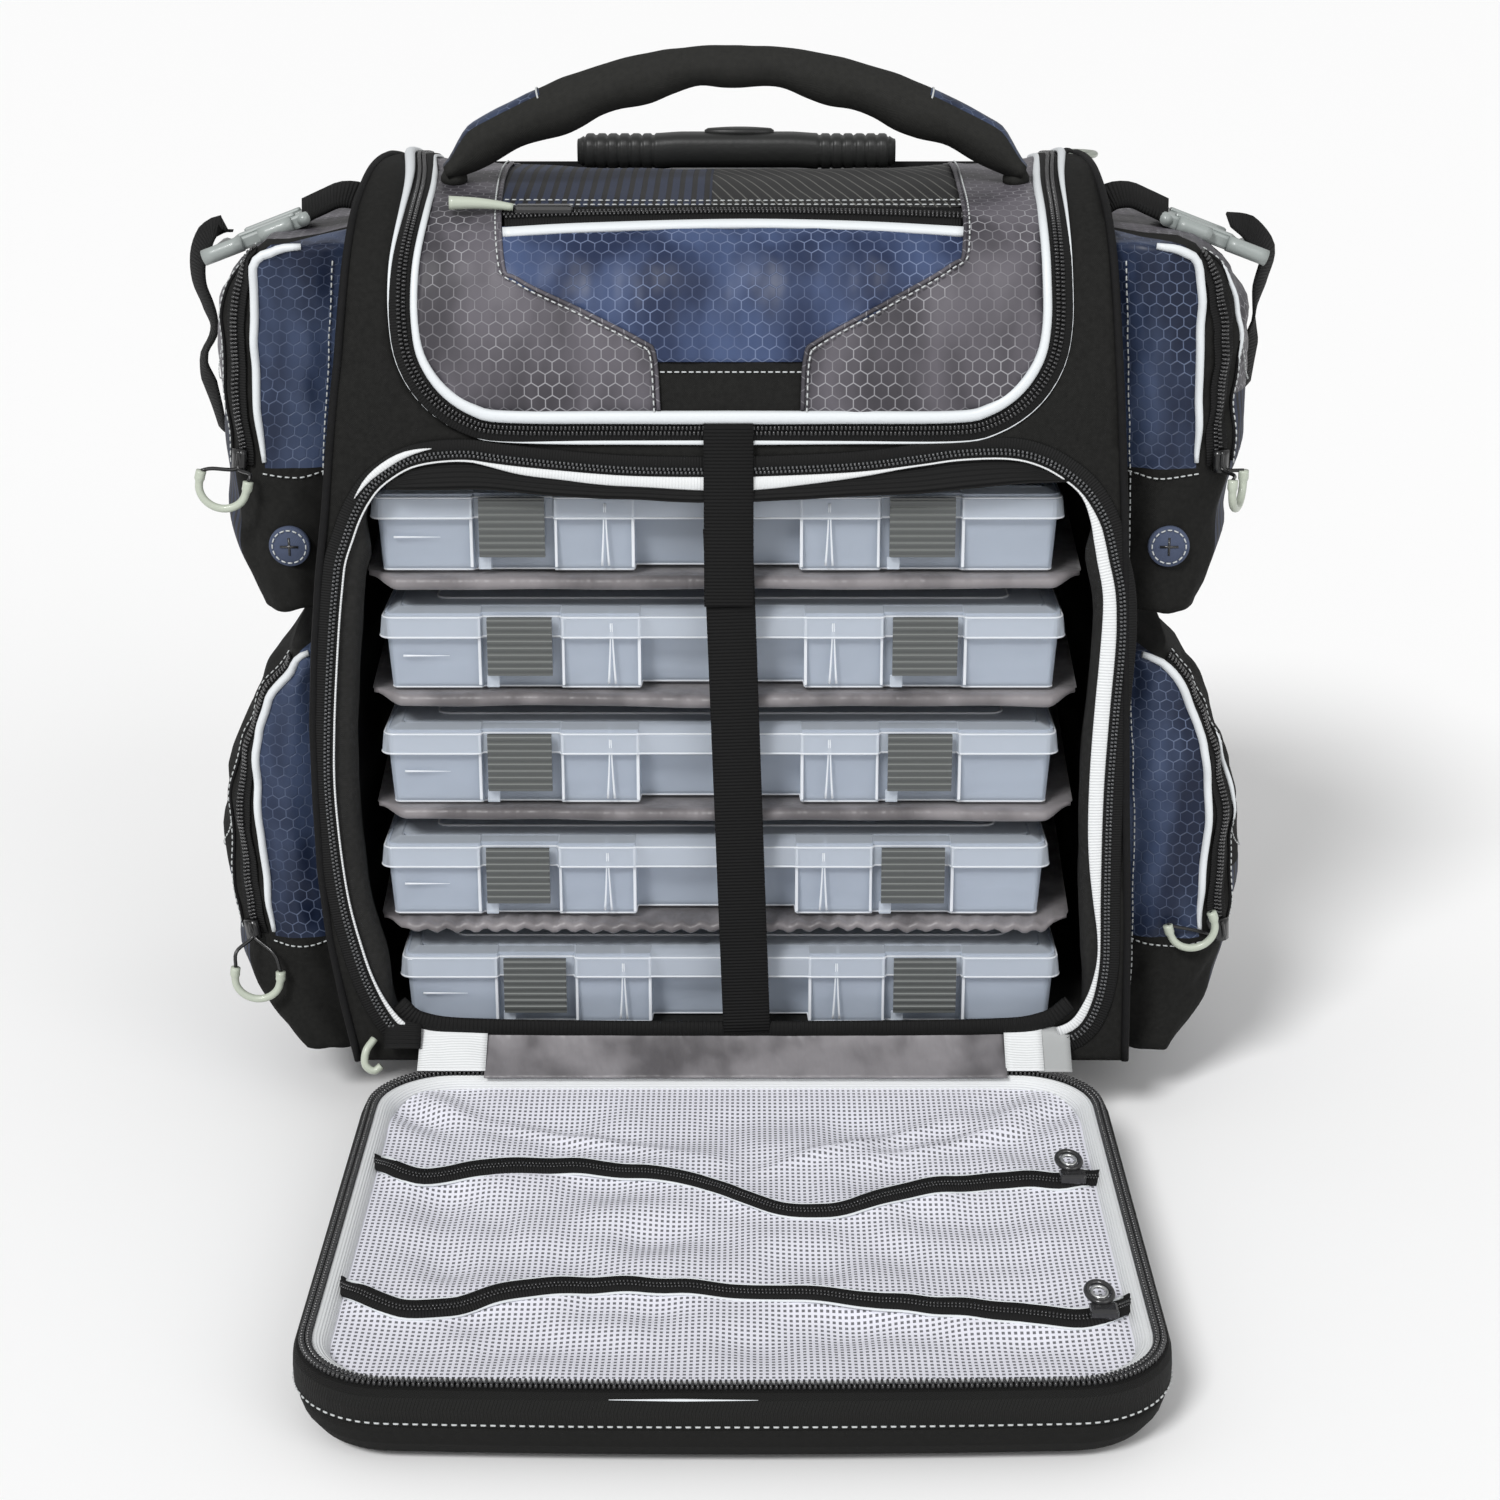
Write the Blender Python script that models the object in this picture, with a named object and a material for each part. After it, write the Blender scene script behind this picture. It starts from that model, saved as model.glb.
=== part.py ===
"""Wheeled tackle backpack: five utility boxes behind a drop-down front door, a top
compartment under a U-shaped lid, four side pockets and a telescopic trolley handle.

Metres, +Z up. +X is the wearer's left as seen from the front, -Y is the front. The origin
lies on the underside of the front skid, in the plane of the front panel. The door is open
and lies on the floor; every other piece is at rest.
"""

import math

import bmesh
import bpy
from mathutils import Matrix, Vector

# ---------------------------------------------------------------- driving dimensions
GAP = 0.0003                  # clearance between pieces that touch
HALF_WIDTH = 0.212            # half the bag's width over its side walls
WALL = 0.006                  # thickness of a padded wall
FRONT_PANEL = 0.0020          # thickness of the front panel, which starts at Y = 0
BACK_Y = 0.276                # front face of the back panel
BACK_THICK = 0.010
BASE_Z = 0.040                # underside of the bag above the floor
BAY_FLOOR = 0.0545            # top of the padded base
LID_SEAM = 0.3865             # height where the front panel ends and the lid starts
DECK_Z = 0.3705               # underside of the deck between bay and top compartment
TOP_Z = 0.4965                # highest point of the closed bag

BOX_COUNT = 5
BOX_PITCH = 0.0635
BOX_TOP = 0.354               # top of the uppermost box
BOX_HALF = 0.178              # half the width of a 356 mm utility box over its lid
BOX_DEPTH = 0.2305
BOX_HEIGHT = 0.045
BOX_FRONT = 0.0105            # front of the lid's skirt
BOX_OFFSETS = (-0.0075, -0.0065, -0.0080, -0.0105, -0.0020)   # how each box sits in its bay
LID_SKIRT = 0.016
LATCH_X = 0.105               # latch centre from the box centre
LATCH_WIDTH = 0.034
LATCH_DROP = 0.031

DOOR_HALF = 0.195
DOOR_NEAR = -0.0115           # hinge end of the open door
DOOR_FAR = -0.334
DOOR_HINGE = (0.0, -0.004, 0.044)

WHEEL_RADIUS = 0.038
WHEEL_Y = 0.262
WHEEL_X = 0.1960
TUBE_X = 0.070                # trolley tubes from the centre plane
TUBE_Y = 0.2610
LID_HINGE = (0.0, 0.2300, 0.4955)
STRAP_WIDTH = 0.025

LEFT, RIGHT = -1, 1
SIDES = ((LEFT, "left"), (RIGHT, "right"))


# ---------------------------------------------------------------- materials
def material(name, colour, roughness, metallic=0.0):
    made = bpy.data.materials.new(name)
    made.use_nodes = True
    shader = made.node_tree.nodes["Principled BSDF"]
    shader.inputs["Base Color"].default_value = (*colour, 1.0)
    shader.inputs["Roughness"].default_value = roughness
    shader.inputs["Metallic"].default_value = metallic
    return made


# ---------------------------------------------------------------- mesh helpers
def finish_mesh(name, work, finish):
    """Turns a bmesh into an object with its faces pointing out."""
    bmesh.ops.remove_doubles(work, verts=work.verts, dist=1e-6)
    bmesh.ops.recalc_face_normals(work, faces=work.faces)
    mesh = bpy.data.meshes.new(name)
    work.to_mesh(mesh)
    work.free()
    made = bpy.data.objects.new(name, mesh)
    made.data.materials.append(finish)
    bpy.context.scene.collection.objects.link(made)
    return made


def set_origin(made, point):
    """Moves an object's origin to a point, such as its hinge, without moving its shape."""
    offset = Vector(point)
    made.data.transform(Matrix.Translation(-offset))
    made.location = offset
    return made


def loft(name, loops, finish, ring=False):
    """Skins loops that have equal numbers of points; ring joins the last loop to the first."""
    work = bmesh.new()
    rows = [[work.verts.new(point) for point in loop] for loop in loops]
    pairs = list(zip(rows, rows[1:])) + ([(rows[-1], rows[0])] if ring else [])
    for low, high in pairs:
        for k in range(len(low)):
            nxt = (k + 1) % len(low)
            work.faces.new((low[k], low[nxt], high[nxt], high[k]))
    if not ring:
        work.faces.new(rows[0])
        work.faces.new(rows[-1])
    return finish_mesh(name, work, finish)


def block(name, low, high, finish):
    """A box between two corners."""
    loops = [
        [(low[0], low[1], z), (high[0], low[1], z), (high[0], high[1], z), (low[0], high[1], z)]
        for z in (low[2], high[2])
    ]
    return loft(name, loops, finish)


def prism(name, outline, place, start, end, finish):
    """Extrudes a 2-D outline; place turns (u, v, depth) into a point."""
    return loft(name, [[place(u, v, d) for u, v in outline] for d in (start, end)], finish)


def rounded(low, high, radius, steps=4):
    """A rectangle with round corners, as points in order."""
    centres = (
        (high[0] - radius, high[1] - radius, 0),
        (low[0] + radius, high[1] - radius, 90),
        (low[0] + radius, low[1] + radius, 180),
        (high[0] - radius, low[1] + radius, 270),
    )
    points = []
    for u, v, start in centres:
        for k in range(steps + 1):
            angle = math.radians(start + 90 * k / steps)
            points.append((u + radius * math.cos(angle), v + radius * math.sin(angle)))
    return points


def cylinder(name, centre, radius, length, sides, finish):
    """A round bar along X."""
    loops = []
    for x in (-length / 2, length / 2):
        turn = [2 * math.pi * k / sides for k in range(sides)]
        loops.append([
            (centre[0] + x, centre[1] + radius * math.cos(a), centre[2] + radius * math.sin(a))
            for a in turn
        ])
    return loft(name, loops, finish)


def tube_along(name, points, radius, finish, resolution=1):
    """A solid rod along a list of points, with closed ends."""
    curve = bpy.data.curves.new(name, "CURVE")
    curve.dimensions = "3D"
    curve.bevel_depth = radius
    curve.bevel_resolution = resolution
    curve.use_fill_caps = True
    spline = curve.splines.new("POLY")
    spline.points.add(len(points) - 1)
    for slot, point in zip(spline.points, points):
        slot.co = (*point, 1.0)
    made = bpy.data.objects.new(name, curve)
    made.data.materials.append(finish)
    bpy.context.scene.collection.objects.link(made)
    return made


def combine(made, operation, other):
    """Adds a Boolean with another object, which is then only a helper."""
    other.hide_render = True
    other.display_type = "WIRE"
    modifier = made.modifiers.new(other.name, "BOOLEAN")
    modifier.operation = operation
    modifier.object = other


def bevel(made, width, segments=2):
    modifier = made.modifiers.new("Bevel", "BEVEL")
    modifier.width = width
    modifier.segments = segments


def along_x(u, v, depth):
    return (depth, u, v)


def along_y(u, v, depth):
    return (u, depth, v)


def along_z(u, v, depth):
    return (u, v, depth)


# ---------------------------------------------------------------- bag shell
def mirrored(outline):
    """Closes a half outline, given from the centre out, with its mirror image."""
    return outline + [(-u, v) for u, v in reversed(outline)]


def bag_shell(fabric, lining):
    notch_x, notch_y, notch_z = 0.1812, 0.2182, 0.0825    # room for the wheel housings
    front_y, rear_y = FRONT_PANEL + GAP, BACK_Y - GAP
    inner = HALF_WIDTH - WALL - 2 * GAP

    outer = rounded((-HALF_WIDTH, BASE_Z), (HALF_WIDTH, LID_SEAM - GAP), 0.010)
    mouth = rounded((-0.190, 0.058), (0.190, 0.366), 0.035)
    front = [[(u, y, v) for u, v in line] for line, y in
             ((outer, 0.0), (outer, FRONT_PANEL), (mouth, FRONT_PANEL), (mouth, 0.0))]
    loft("front_panel", front, fabric, ring=True)

    base = mirrored([(inner, front_y), (inner, notch_y), (notch_x, notch_y), (notch_x, rear_y)])
    prism("base_panel", base, along_z, BASE_Z, BAY_FLOOR, lining)

    wall = [(front_y, BASE_Z), (notch_y, BASE_Z), (notch_y, notch_z), (rear_y, notch_z),
            (rear_y, LID_SEAM - GAP), (front_y, LID_SEAM - GAP)]
    for side, word in SIDES:
        prism(f"side_wall_{word}", wall, along_x,
              side * (HALF_WIDTH - WALL), side * HALF_WIDTH, fabric)

    back = mirrored([(notch_x, BASE_Z), (notch_x, notch_z), (HALF_WIDTH, notch_z),
                     (HALF_WIDTH, 0.470), (0.190, TOP_Z)])
    prism("back_panel", back, along_y, BACK_Y, BACK_Y + BACK_THICK, fabric)

    block("mid_deck", (-inner, front_y, DECK_Z), (inner, 0.2455, DECK_Z + WALL), lining)
    top_collar(fabric)


def top_collar(fabric):
    """The shoulders beside the lid and the band behind it, ahead of the trolley well."""
    inner, band_front, band_rear, rear = 0.1812, 0.2325, 0.2460, BACK_Y - GAP
    levels = ((LID_SEAM, 0.000, HALF_WIDTH), (0.455, 0.010, HALF_WIDTH), (0.478, 0.026, 0.206),
              (0.492, 0.055, 0.194), (TOP_Z, 0.095, 0.186))
    loops = []
    for z, front, outer in levels:
        half = [(inner, band_front), (inner, front), (outer, front), (outer, rear),
                (inner, rear), (inner, band_rear)]
        left = [(-x, y) for x, y in reversed(half)]
        loops.append([(x, y, z) for x, y in half + left])
    loft("top_collar", loops, fabric)


def shelves(lining):
    inner = HALF_WIDTH - WALL - 5 * GAP
    for number in range(1, BOX_COUNT):
        under = box_top(number) - BOX_HEIGHT - 2 * GAP
        block(f"shelf_{number}", (-inner, 0.008, under - 0.006), (inner, 0.243, under), lining)


# ---------------------------------------------------------------- side pockets
def pocket(name, side, height, depth, finish):
    """A soft pocket: full where it joins the wall, narrower at its outer face."""
    start, end = HALF_WIDTH + 2 * GAP, 0.2845
    levels = ((start, 0.0), (0.245, 0.0), (0.268, 0.012), (end, 0.034))
    loops = []
    for x, inset in levels:
        line = rounded((depth[0] + inset * 0.4, height[0] + inset),
                       (depth[1] - inset, height[1] - inset * 1.3), 0.018, 3)
        loops.append([(side * x, u, v) for u, v in line])
    loft(name, loops, finish)


def pull_loop(name, centre, turn, finish):
    """A moulded U-shaped pull, hanging with its open side up."""
    half, leg, radius = 0.0105, 0.009, 0.0019
    flat = [(-half, leg)]
    for k in range(9):
        angle = math.pi + math.pi * k / 8
        flat.append((half * math.cos(angle), half * 0.85 * math.sin(angle)))
    flat.append((half, leg))
    swing = math.radians(turn)
    points = [
        (centre[0] + u * math.cos(swing), centre[1] + u * math.sin(swing), centre[2] + v)
        for u, v in flat
    ]
    return tube_along(name, points, radius, finish)


def side_pockets(fabric, plastic):
    upper, lower = (0.284, 0.474), (0.041, 0.2605)
    depth = (0.028, 0.215)
    for side, word in SIDES:
        pocket(f"upper_pocket_{word}", side, upper, depth, fabric)
        pocket(f"lower_pocket_{word}", side, lower, depth, fabric)
    pull_loop("upper_pull_left", (-0.2570, 0.0235, 0.352), 0, plastic)
    pull_loop("upper_pull_right", (0.2890, 0.0340, 0.352), 80, plastic)
    pull_loop("lower_pull_left", (-0.2500, 0.0235, 0.079), 0, plastic)
    pull_loop("lower_pull_right", (0.2375, 0.0235, 0.105), 0, plastic)


# ---------------------------------------------------------------- utility boxes
def box_top(number):
    return BOX_TOP - BOX_PITCH * (number - 1)


def open_tray(name, low, high, wall, floor, finish, upside_down=False):
    """A thin-walled box that is open at the top, or at the bottom if upside down."""
    shut, mouth = (high[2], low[2]) if upside_down else (low[2], high[2])
    inside = shut - floor if upside_down else shut + floor

    def rim(inset, z):
        return [(x, y, z) for x, y in rounded((low[0] + inset, low[1] + inset),
                                              (high[0] - inset, high[1] - inset), 0.004, 1)]

    return loft(name, [rim(0, shut), rim(0, mouth), rim(wall, mouth), rim(wall, inside)], finish)


def utility_box(number, clear, clear_lid, grey):
    top, middle = box_top(number), BOX_OFFSETS[number - 1]
    rear = BOX_FRONT + BOX_DEPTH
    open_tray(f"box_{number}_tray",
              (middle - BOX_HALF + 0.002, BOX_FRONT + 0.002, top - BOX_HEIGHT),
              (middle + BOX_HALF - 0.002, rear - 0.0015, top - 0.0034), 0.0016, 0.0016, clear)
    open_tray(f"box_{number}_lid", (middle - BOX_HALF, BOX_FRONT, top - LID_SKIRT),
              (middle + BOX_HALF, rear, top), 0.0014, 0.0030, clear_lid, upside_down=True)
    for side, word in SIDES:
        centre = middle + side * LATCH_X
        hinge_z = top - 0.0045
        latch = block(f"box_{number}_latch_{word}",
                      (centre - LATCH_WIDTH / 2, BOX_FRONT - 0.0033, hinge_z - LATCH_DROP),
                      (centre + LATCH_WIDTH / 2, BOX_FRONT - 0.0005, hinge_z), grey)
        set_origin(latch, (centre, BOX_FRONT - 0.0013, hinge_z))


# ---------------------------------------------------------------- front door
def door_outline(inset, z):
    """The door's plan at a height: a rounded rectangle whose far edge is slightly bowed."""
    line = rounded((-DOOR_HALF + inset, DOOR_FAR + inset), (DOOR_HALF - inset, DOOR_NEAR - inset),
                   0.045 - inset, 5)
    bow = 0.004
    middle = (DOOR_FAR + DOOR_NEAR) / 2
    points = []
    for x, y in line:
        if y < middle:
            y -= bow * (1 - (x / DOOR_HALF) ** 2)
        points.append((x, y, z))
    return points


def front_door(foam, mesh_fabric, black):
    levels = ((0.022, 0.000), (0.009, 0.0045), (0.003, 0.016), (0.000, BASE_Z),
              (0.006, BASE_Z), (0.024, 0.008))
    shell = loft("door_shell", [door_outline(inset, z) for inset, z in levels], foam)
    set_origin(shell, DOOR_HINGE)
    mesh = loft("door_mesh", [door_outline(0.0145, z) for z in (0.0275, 0.0300)], mesh_fabric)
    set_origin(mesh, DOOR_HINGE)
    for word, y in (("upper", -0.134), ("lower", -0.252)):
        slider = block(f"door_slider_{word}", (0.158, y - 0.005, 0.0304), (0.178, y + 0.005, 0.0364),
                       black)
        bevel(slider, 0.0015, 1)


# ---------------------------------------------------------------- lid and carry handle
def lid(fabric, handle_fabric, plastic):
    outer = [(0.000, LID_SEAM + GAP), (0.004, 0.420), (0.014, 0.455), (0.030, 0.477),
             (0.055, 0.489), (0.100, 0.4955), (0.160, 0.4975), (0.2315, 0.4955)]
    thick = 0.005
    inside = []
    for k, (y, z) in enumerate(outer):
        before, after = outer[max(k - 1, 0)], outer[min(k + 1, len(outer) - 1)]
        run = Vector((after[0] - before[0], after[1] - before[1])).normalized()
        inside.append((y + run.y * thick, z - run.x * thick))
    panel = prism("lid_panel", outer + inside[::-1], along_x, -0.1806, 0.1806, fabric)
    set_origin(panel, LID_HINGE)

    span, rise, foot = 0.148, 0.044, 0.5105
    points = []
    for k in range(17):
        x = -span + 2 * span * k / 16
        points.append((x, 0.100, foot + rise * (1 - abs(x / span) ** 2.2)))
    tube_along("carry_handle", points, 0.0125, handle_fabric, 2)

    slider = block("lid_slider", (-0.019, -0.005, -0.002), (0.019, 0.005, 0.002), plastic)
    bevel(slider, 0.001, 1)
    slider.rotation_euler = (math.radians(27), 0.0, 0.0)
    slider.location = (-0.112, 0.041, 0.4862)


# ---------------------------------------------------------------- straps, buckles, ring, harness
def centre_strap(webbing):
    left = -0.0155
    upper = block("strap_upper", (left, -0.0046, 0.296), (left + STRAP_WIDTH, -0.0028, 0.384), webbing)
    set_origin(upper, (0.0, -0.0037, 0.384))
    ends = ((-0.012, 0.336), (-0.006, 0.062))
    loops = [
        [(x, y, z) for x, y in ((left, -0.0024), (left + STRAP_WIDTH, -0.0024),
                                (left + STRAP_WIDTH, -0.0008), (left, -0.0008))]
        for left, z in ends
    ]
    lower = loft("strap_lower", loops, webbing)
    set_origin(lower, (0.0, -0.0016, 0.062))


def compression_buckle(side, word, plastic):
    """A side-release buckle lying over the top of an upper pocket."""
    inner, outer = Vector((0.2235, 0.4955)), Vector((0.2700, 0.4720))
    middle = (inner + outer) / 2
    length = (outer - inner).length
    buckle = block(f"buckle_{word}", (-length / 2, -0.0155, -0.004), (length / 2, 0.0155, 0.004), plastic)
    bevel(buckle, 0.002, 1)
    slope = math.atan2(inner.y - outer.y, outer.x - inner.x)
    buckle.rotation_euler = (0.0, side * slope, 0.0)
    buckle.location = (side * middle.x, 0.100, middle.y)


def d_ring(metal):
    """A ring whose straight bar, along Y, is its hinge."""
    bar_x, y, z, radius = 0.1850, 0.202, 0.4995, 0.0016
    arc = [(bar_x + 0.0145 * math.sin(math.pi * k / 8), y - 0.0105 * math.cos(math.pi * k / 8), z)
           for k in range(9)]
    sides = 6
    loops = []
    centre = Vector((bar_x + 0.005, y, z))
    for k, point in enumerate(arc):
        out = Vector(point) - centre
        out.normalize()
        loops.append([
            Vector(point) + radius * (out * math.cos(2 * math.pi * j / sides)
                                      + Vector((0, 0, 1)) * math.sin(2 * math.pi * j / sides))
            for j in range(sides)
        ])
    ring = loft("d_ring", loops, metal, ring=True)
    set_origin(ring, (bar_x, y, z))


def harness(fabric):
    """Both padded shoulder straps and the yoke that joins them, against the back."""
    half = [(0.055, 0.200), (0.120, 0.200), (0.105, 0.455), (0.095, 0.470)]
    outline = half + [(-u, v) for u, v in reversed(half)] + [(-0.040, 0.425), (0.040, 0.425)]
    start = BACK_Y + BACK_THICK + GAP
    prism("shoulder_harness", outline, along_y, start, start + 0.016, fabric)


# ---------------------------------------------------------------- trolley handle
def tube_pair(name, size, hole, low, high, bridge, finish):
    """Two upright tubes joined by a bridge; hole is the bore's size and lowest point, or None."""
    made = block(name, (-0.0795, TUBE_Y - 0.0075, bridge[0]), (0.0795, TUBE_Y + 0.0075, bridge[1]),
                 finish)
    for side, word in SIDES:
        bar = block(f"{name}_bar_{word}",
                    (side * TUBE_X - size[0] / 2, TUBE_Y - size[1] / 2, low),
                    (side * TUBE_X + size[0] / 2, TUBE_Y + size[1] / 2, high), finish)
        combine(made, "UNION", bar)
    if hole:
        for side, word in SIDES:
            bore = block(f"{name}_bore_{word}",
                         (side * TUBE_X - hole[0] / 2, TUBE_Y - hole[1] / 2, hole[2]),
                         (side * TUBE_X + hole[0] / 2, TUBE_Y + hole[1] / 2, 0.500), finish)
            combine(made, "DIFFERENCE", bore)
    return made


def trolley(metal, rubber, button_plastic):
    tube_pair("trolley_frame", (0.0190, 0.0148), (0.0164, 0.0124, 0.070), 0.060, 0.470,
              (0.0550, 0.0660), metal)
    tube_pair("trolley_mid_tubes", (0.0156, 0.0116), (0.0132, 0.0092, 0.050), 0.0715, 0.4740,
              (0.4706, 0.4770), metal)
    tube_pair("trolley_tubes", (0.0126, 0.0086), None, 0.0735, 0.4800, (0.4775, 0.4838), metal)

    grip = block("trolley_grip", (-0.0915, 0.2480, 0.4842), (0.0915, 0.2740, 0.5040), rubber)
    bevel(grip, 0.004, 2)
    recess = block("trolley_grip_recess", (-0.0195, TUBE_Y - 0.0070, 0.4985),
                   (0.0195, TUBE_Y + 0.0070, 0.5100), rubber)
    combine(grip, "DIFFERENCE", recess)
    block("trolley_button", (-0.0190, TUBE_Y - 0.0065, 0.5015), (0.0190, TUBE_Y + 0.0065, 0.5060),
          button_plastic)


# ---------------------------------------------------------------- chassis and wheels
def chassis(plastic):
    """Moulded base: a plate, the front skid and a housing over each wheel."""
    made = block("base_chassis", (-0.205, 0.010, 0.0360), (0.205, 0.2750, BASE_Z - GAP), plastic)
    skid = block("chassis_skid", (-0.150, -0.006, 0.0), (0.150, 0.034, BASE_Z - GAP), plastic)
    combine(made, "UNION", skid)
    for side, word in SIDES:
        arch = block(f"chassis_arch_{word}", (min(side * 0.1815, side * HALF_WIDTH), 0.2185, 0.0200),
                     (max(side * 0.1815, side * HALF_WIDTH), 0.2850, 0.0822), plastic)
        combine(made, "UNION", arch)
    for side, word in SIDES:
        well = block(f"chassis_well_{word}", (min(side * 0.1838, side * 0.2082), 0.2215, -0.010),
                     (max(side * 0.1838, side * 0.2082), 0.3200, 0.0795), plastic)
        combine(made, "DIFFERENCE", well)
        pin = cylinder(f"chassis_pin_{word}", (side * WHEEL_X, WHEEL_Y, WHEEL_RADIUS), 0.004, 0.0270,
                       12, plastic)
        combine(made, "UNION", pin)


def wheel(side, word, rubber):
    sides = 20
    half = math.pi / sides
    grow = 1 / math.cos(half)                        # so that the flats touch the floor
    profile = ((-0.0095, 0.0047), (-0.0100, 0.0190), (-0.0105, 0.0340), (-0.0070, WHEEL_RADIUS),
               (0.0070, WHEEL_RADIUS), (0.0105, 0.0340), (0.0100, 0.0190), (0.0095, 0.0047))
    loops = []
    for x, radius in profile:
        turn = [2 * math.pi * k / sides + half for k in range(sides)]
        loops.append([
            (side * WHEEL_X + x, WHEEL_Y + grow * radius * math.sin(a),
             WHEEL_RADIUS - grow * radius * math.cos(a))
            for a in turn
        ])
    made = loft(f"wheel_{word}", loops, rubber, ring=True)
    set_origin(made, (side * WHEEL_X, WHEEL_Y, WHEEL_RADIUS))


# ---------------------------------------------------------------- the whole bag
def main():
    for old in list(bpy.data.objects):
        bpy.data.objects.remove(old, do_unlink=True)

    black = material("black_woven", (0.016, 0.017, 0.016), 0.85)
    navy = material("navy_ripstop", (0.045, 0.070, 0.165), 0.60)
    grey = material("grey_lining", (0.22, 0.21, 0.22), 0.55)
    webbing = material("webbing", (0.012, 0.012, 0.012), 0.80)
    foam = material("door_foam", (0.020, 0.020, 0.022), 0.75)
    mesh_fabric = material("white_mesh", (0.75, 0.76, 0.80), 0.40)
    clear = material("clear_tray", (0.62, 0.68, 0.75), 0.15)
    clear_lid = material("clear_lid", (0.70, 0.75, 0.82), 0.15)
    latch_grey = material("latch_grey", (0.085, 0.100, 0.095), 0.45)
    pull_plastic = material("pull_plastic", (0.50, 0.53, 0.47), 0.40)
    buckle_plastic = material("buckle_plastic", (0.40, 0.42, 0.37), 0.40)
    chassis_plastic = material("chassis_plastic", (0.020, 0.020, 0.022), 0.50)
    metal = material("anodised_tube", (0.30, 0.31, 0.32), 0.35, 1.0)
    rubber = material("moulded_rubber", (0.020, 0.021, 0.020), 0.60)

    bag_shell(black, grey)
    shelves(grey)
    side_pockets(navy, pull_plastic)
    for number in range(1, BOX_COUNT + 1):
        utility_box(number, clear, clear_lid, latch_grey)
    front_door(foam, mesh_fabric, rubber)
    lid(navy, black, pull_plastic)
    centre_strap(webbing)
    for side, word in SIDES:
        compression_buckle(side, word, buckle_plastic)
        wheel(side, word, rubber)
    d_ring(buckle_plastic)
    harness(black)
    trolley(metal, rubber, rubber)
    chassis(chassis_plastic)


main()
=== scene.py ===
"""Wheeled tackle backpack: sewn shell, U-shaped lid, four side pockets, five utility boxes
and an open front door.

Metres, +Z up, -Y the front, +X to the right as seen from the front. The origin lies on the
floor in the plane of the bag's front face.
"""

import math

import bmesh
import bpy
import numpy as np
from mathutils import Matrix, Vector, kdtree, noise
from mathutils.geometry import delaunay_2d_cdt


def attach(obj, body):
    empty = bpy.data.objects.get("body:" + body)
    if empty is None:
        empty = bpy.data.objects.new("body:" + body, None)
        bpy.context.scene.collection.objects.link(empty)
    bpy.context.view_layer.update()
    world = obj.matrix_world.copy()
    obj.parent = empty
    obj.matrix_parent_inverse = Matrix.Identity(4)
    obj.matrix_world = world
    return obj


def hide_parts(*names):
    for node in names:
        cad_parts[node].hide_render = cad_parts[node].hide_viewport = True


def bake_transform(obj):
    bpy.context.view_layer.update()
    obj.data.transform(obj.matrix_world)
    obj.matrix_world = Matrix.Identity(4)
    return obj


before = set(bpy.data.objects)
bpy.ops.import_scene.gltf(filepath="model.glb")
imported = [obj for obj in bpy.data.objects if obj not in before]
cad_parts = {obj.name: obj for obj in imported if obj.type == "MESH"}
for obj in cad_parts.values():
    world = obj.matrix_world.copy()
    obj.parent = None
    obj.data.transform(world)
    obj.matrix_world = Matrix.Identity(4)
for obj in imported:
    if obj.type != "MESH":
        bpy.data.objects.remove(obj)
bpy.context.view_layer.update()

LEFT, RIGHT = -1, 1
SIDES = ((LEFT, "left", "l"), (RIGHT, "right", "r"))


# ---------------------------------------------------------------- curves and arrays
def smooth(points, per=8, closed=False):
    """Catmull-Rom curve through points of any dimension."""
    p = np.array(points, float)
    n = len(p)
    out = []
    for i in range(n if closed else n - 1):
        a = p[(i - 1) % n] if closed or i > 0 else 2 * p[0] - p[1]
        b, c = p[i], p[(i + 1) % n]
        d = p[(i + 2) % n] if closed or i + 2 < n else 2 * p[-1] - p[-2]
        for k in range(per):
            t = k / per
            out.append(0.5 * (2 * b + (c - a) * t + (2 * a - 5 * b + 4 * c - d) * t * t
                              + (3 * b - a - 3 * c + d) * t ** 3))
    if not closed:
        out.append(p[-1])
    return np.array(out)


def run_of(points):
    """Distance along a line at each of its points."""
    step = np.linalg.norm(np.diff(np.array(points, float)[:, :3], axis=0), axis=1)
    return np.concatenate([[0.0], np.cumsum(step)])


def resample(points, step, closed=False, start=0.0, count=0):
    """Points at even distances, or count of them; extra columns, such as normals, come along."""
    p = np.array(points, float)
    if closed:
        p = np.vstack([p, p[:1]])
    run = run_of(p)
    count = count or max(2, int(round((run[-1] - start) / step)))
    at = np.linspace(start, run[-1], count + 1)
    if closed:
        at = at[:-1]
    return np.stack([np.interp(at, run, p[:, k]) for k in range(p.shape[1])], axis=1)


def ease(value):
    """A smooth step from 0 to 1."""
    t = np.clip(value, 0.0, 1.0)
    return t * t * (3 - 2 * t)


def unit(rows):
    rows = np.array(rows, float)
    return rows / np.maximum(np.linalg.norm(rows, axis=-1, keepdims=True), 1e-12)


def ripple(points, size, seed=0.0):
    """Smooth noise from -1 to 1 at each point; size is one length or three. Y and Z may be left out."""
    points = np.array(points, float).reshape(len(points), -1)
    points = np.pad(points, ((0, 0), (0, 3 - points.shape[1])))
    scale = np.broadcast_to(np.array(size, float), (3,))
    return np.array([noise.noise(Vector(p / scale) + Vector((seed, seed * 0.7, 0))) for p in points])


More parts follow.
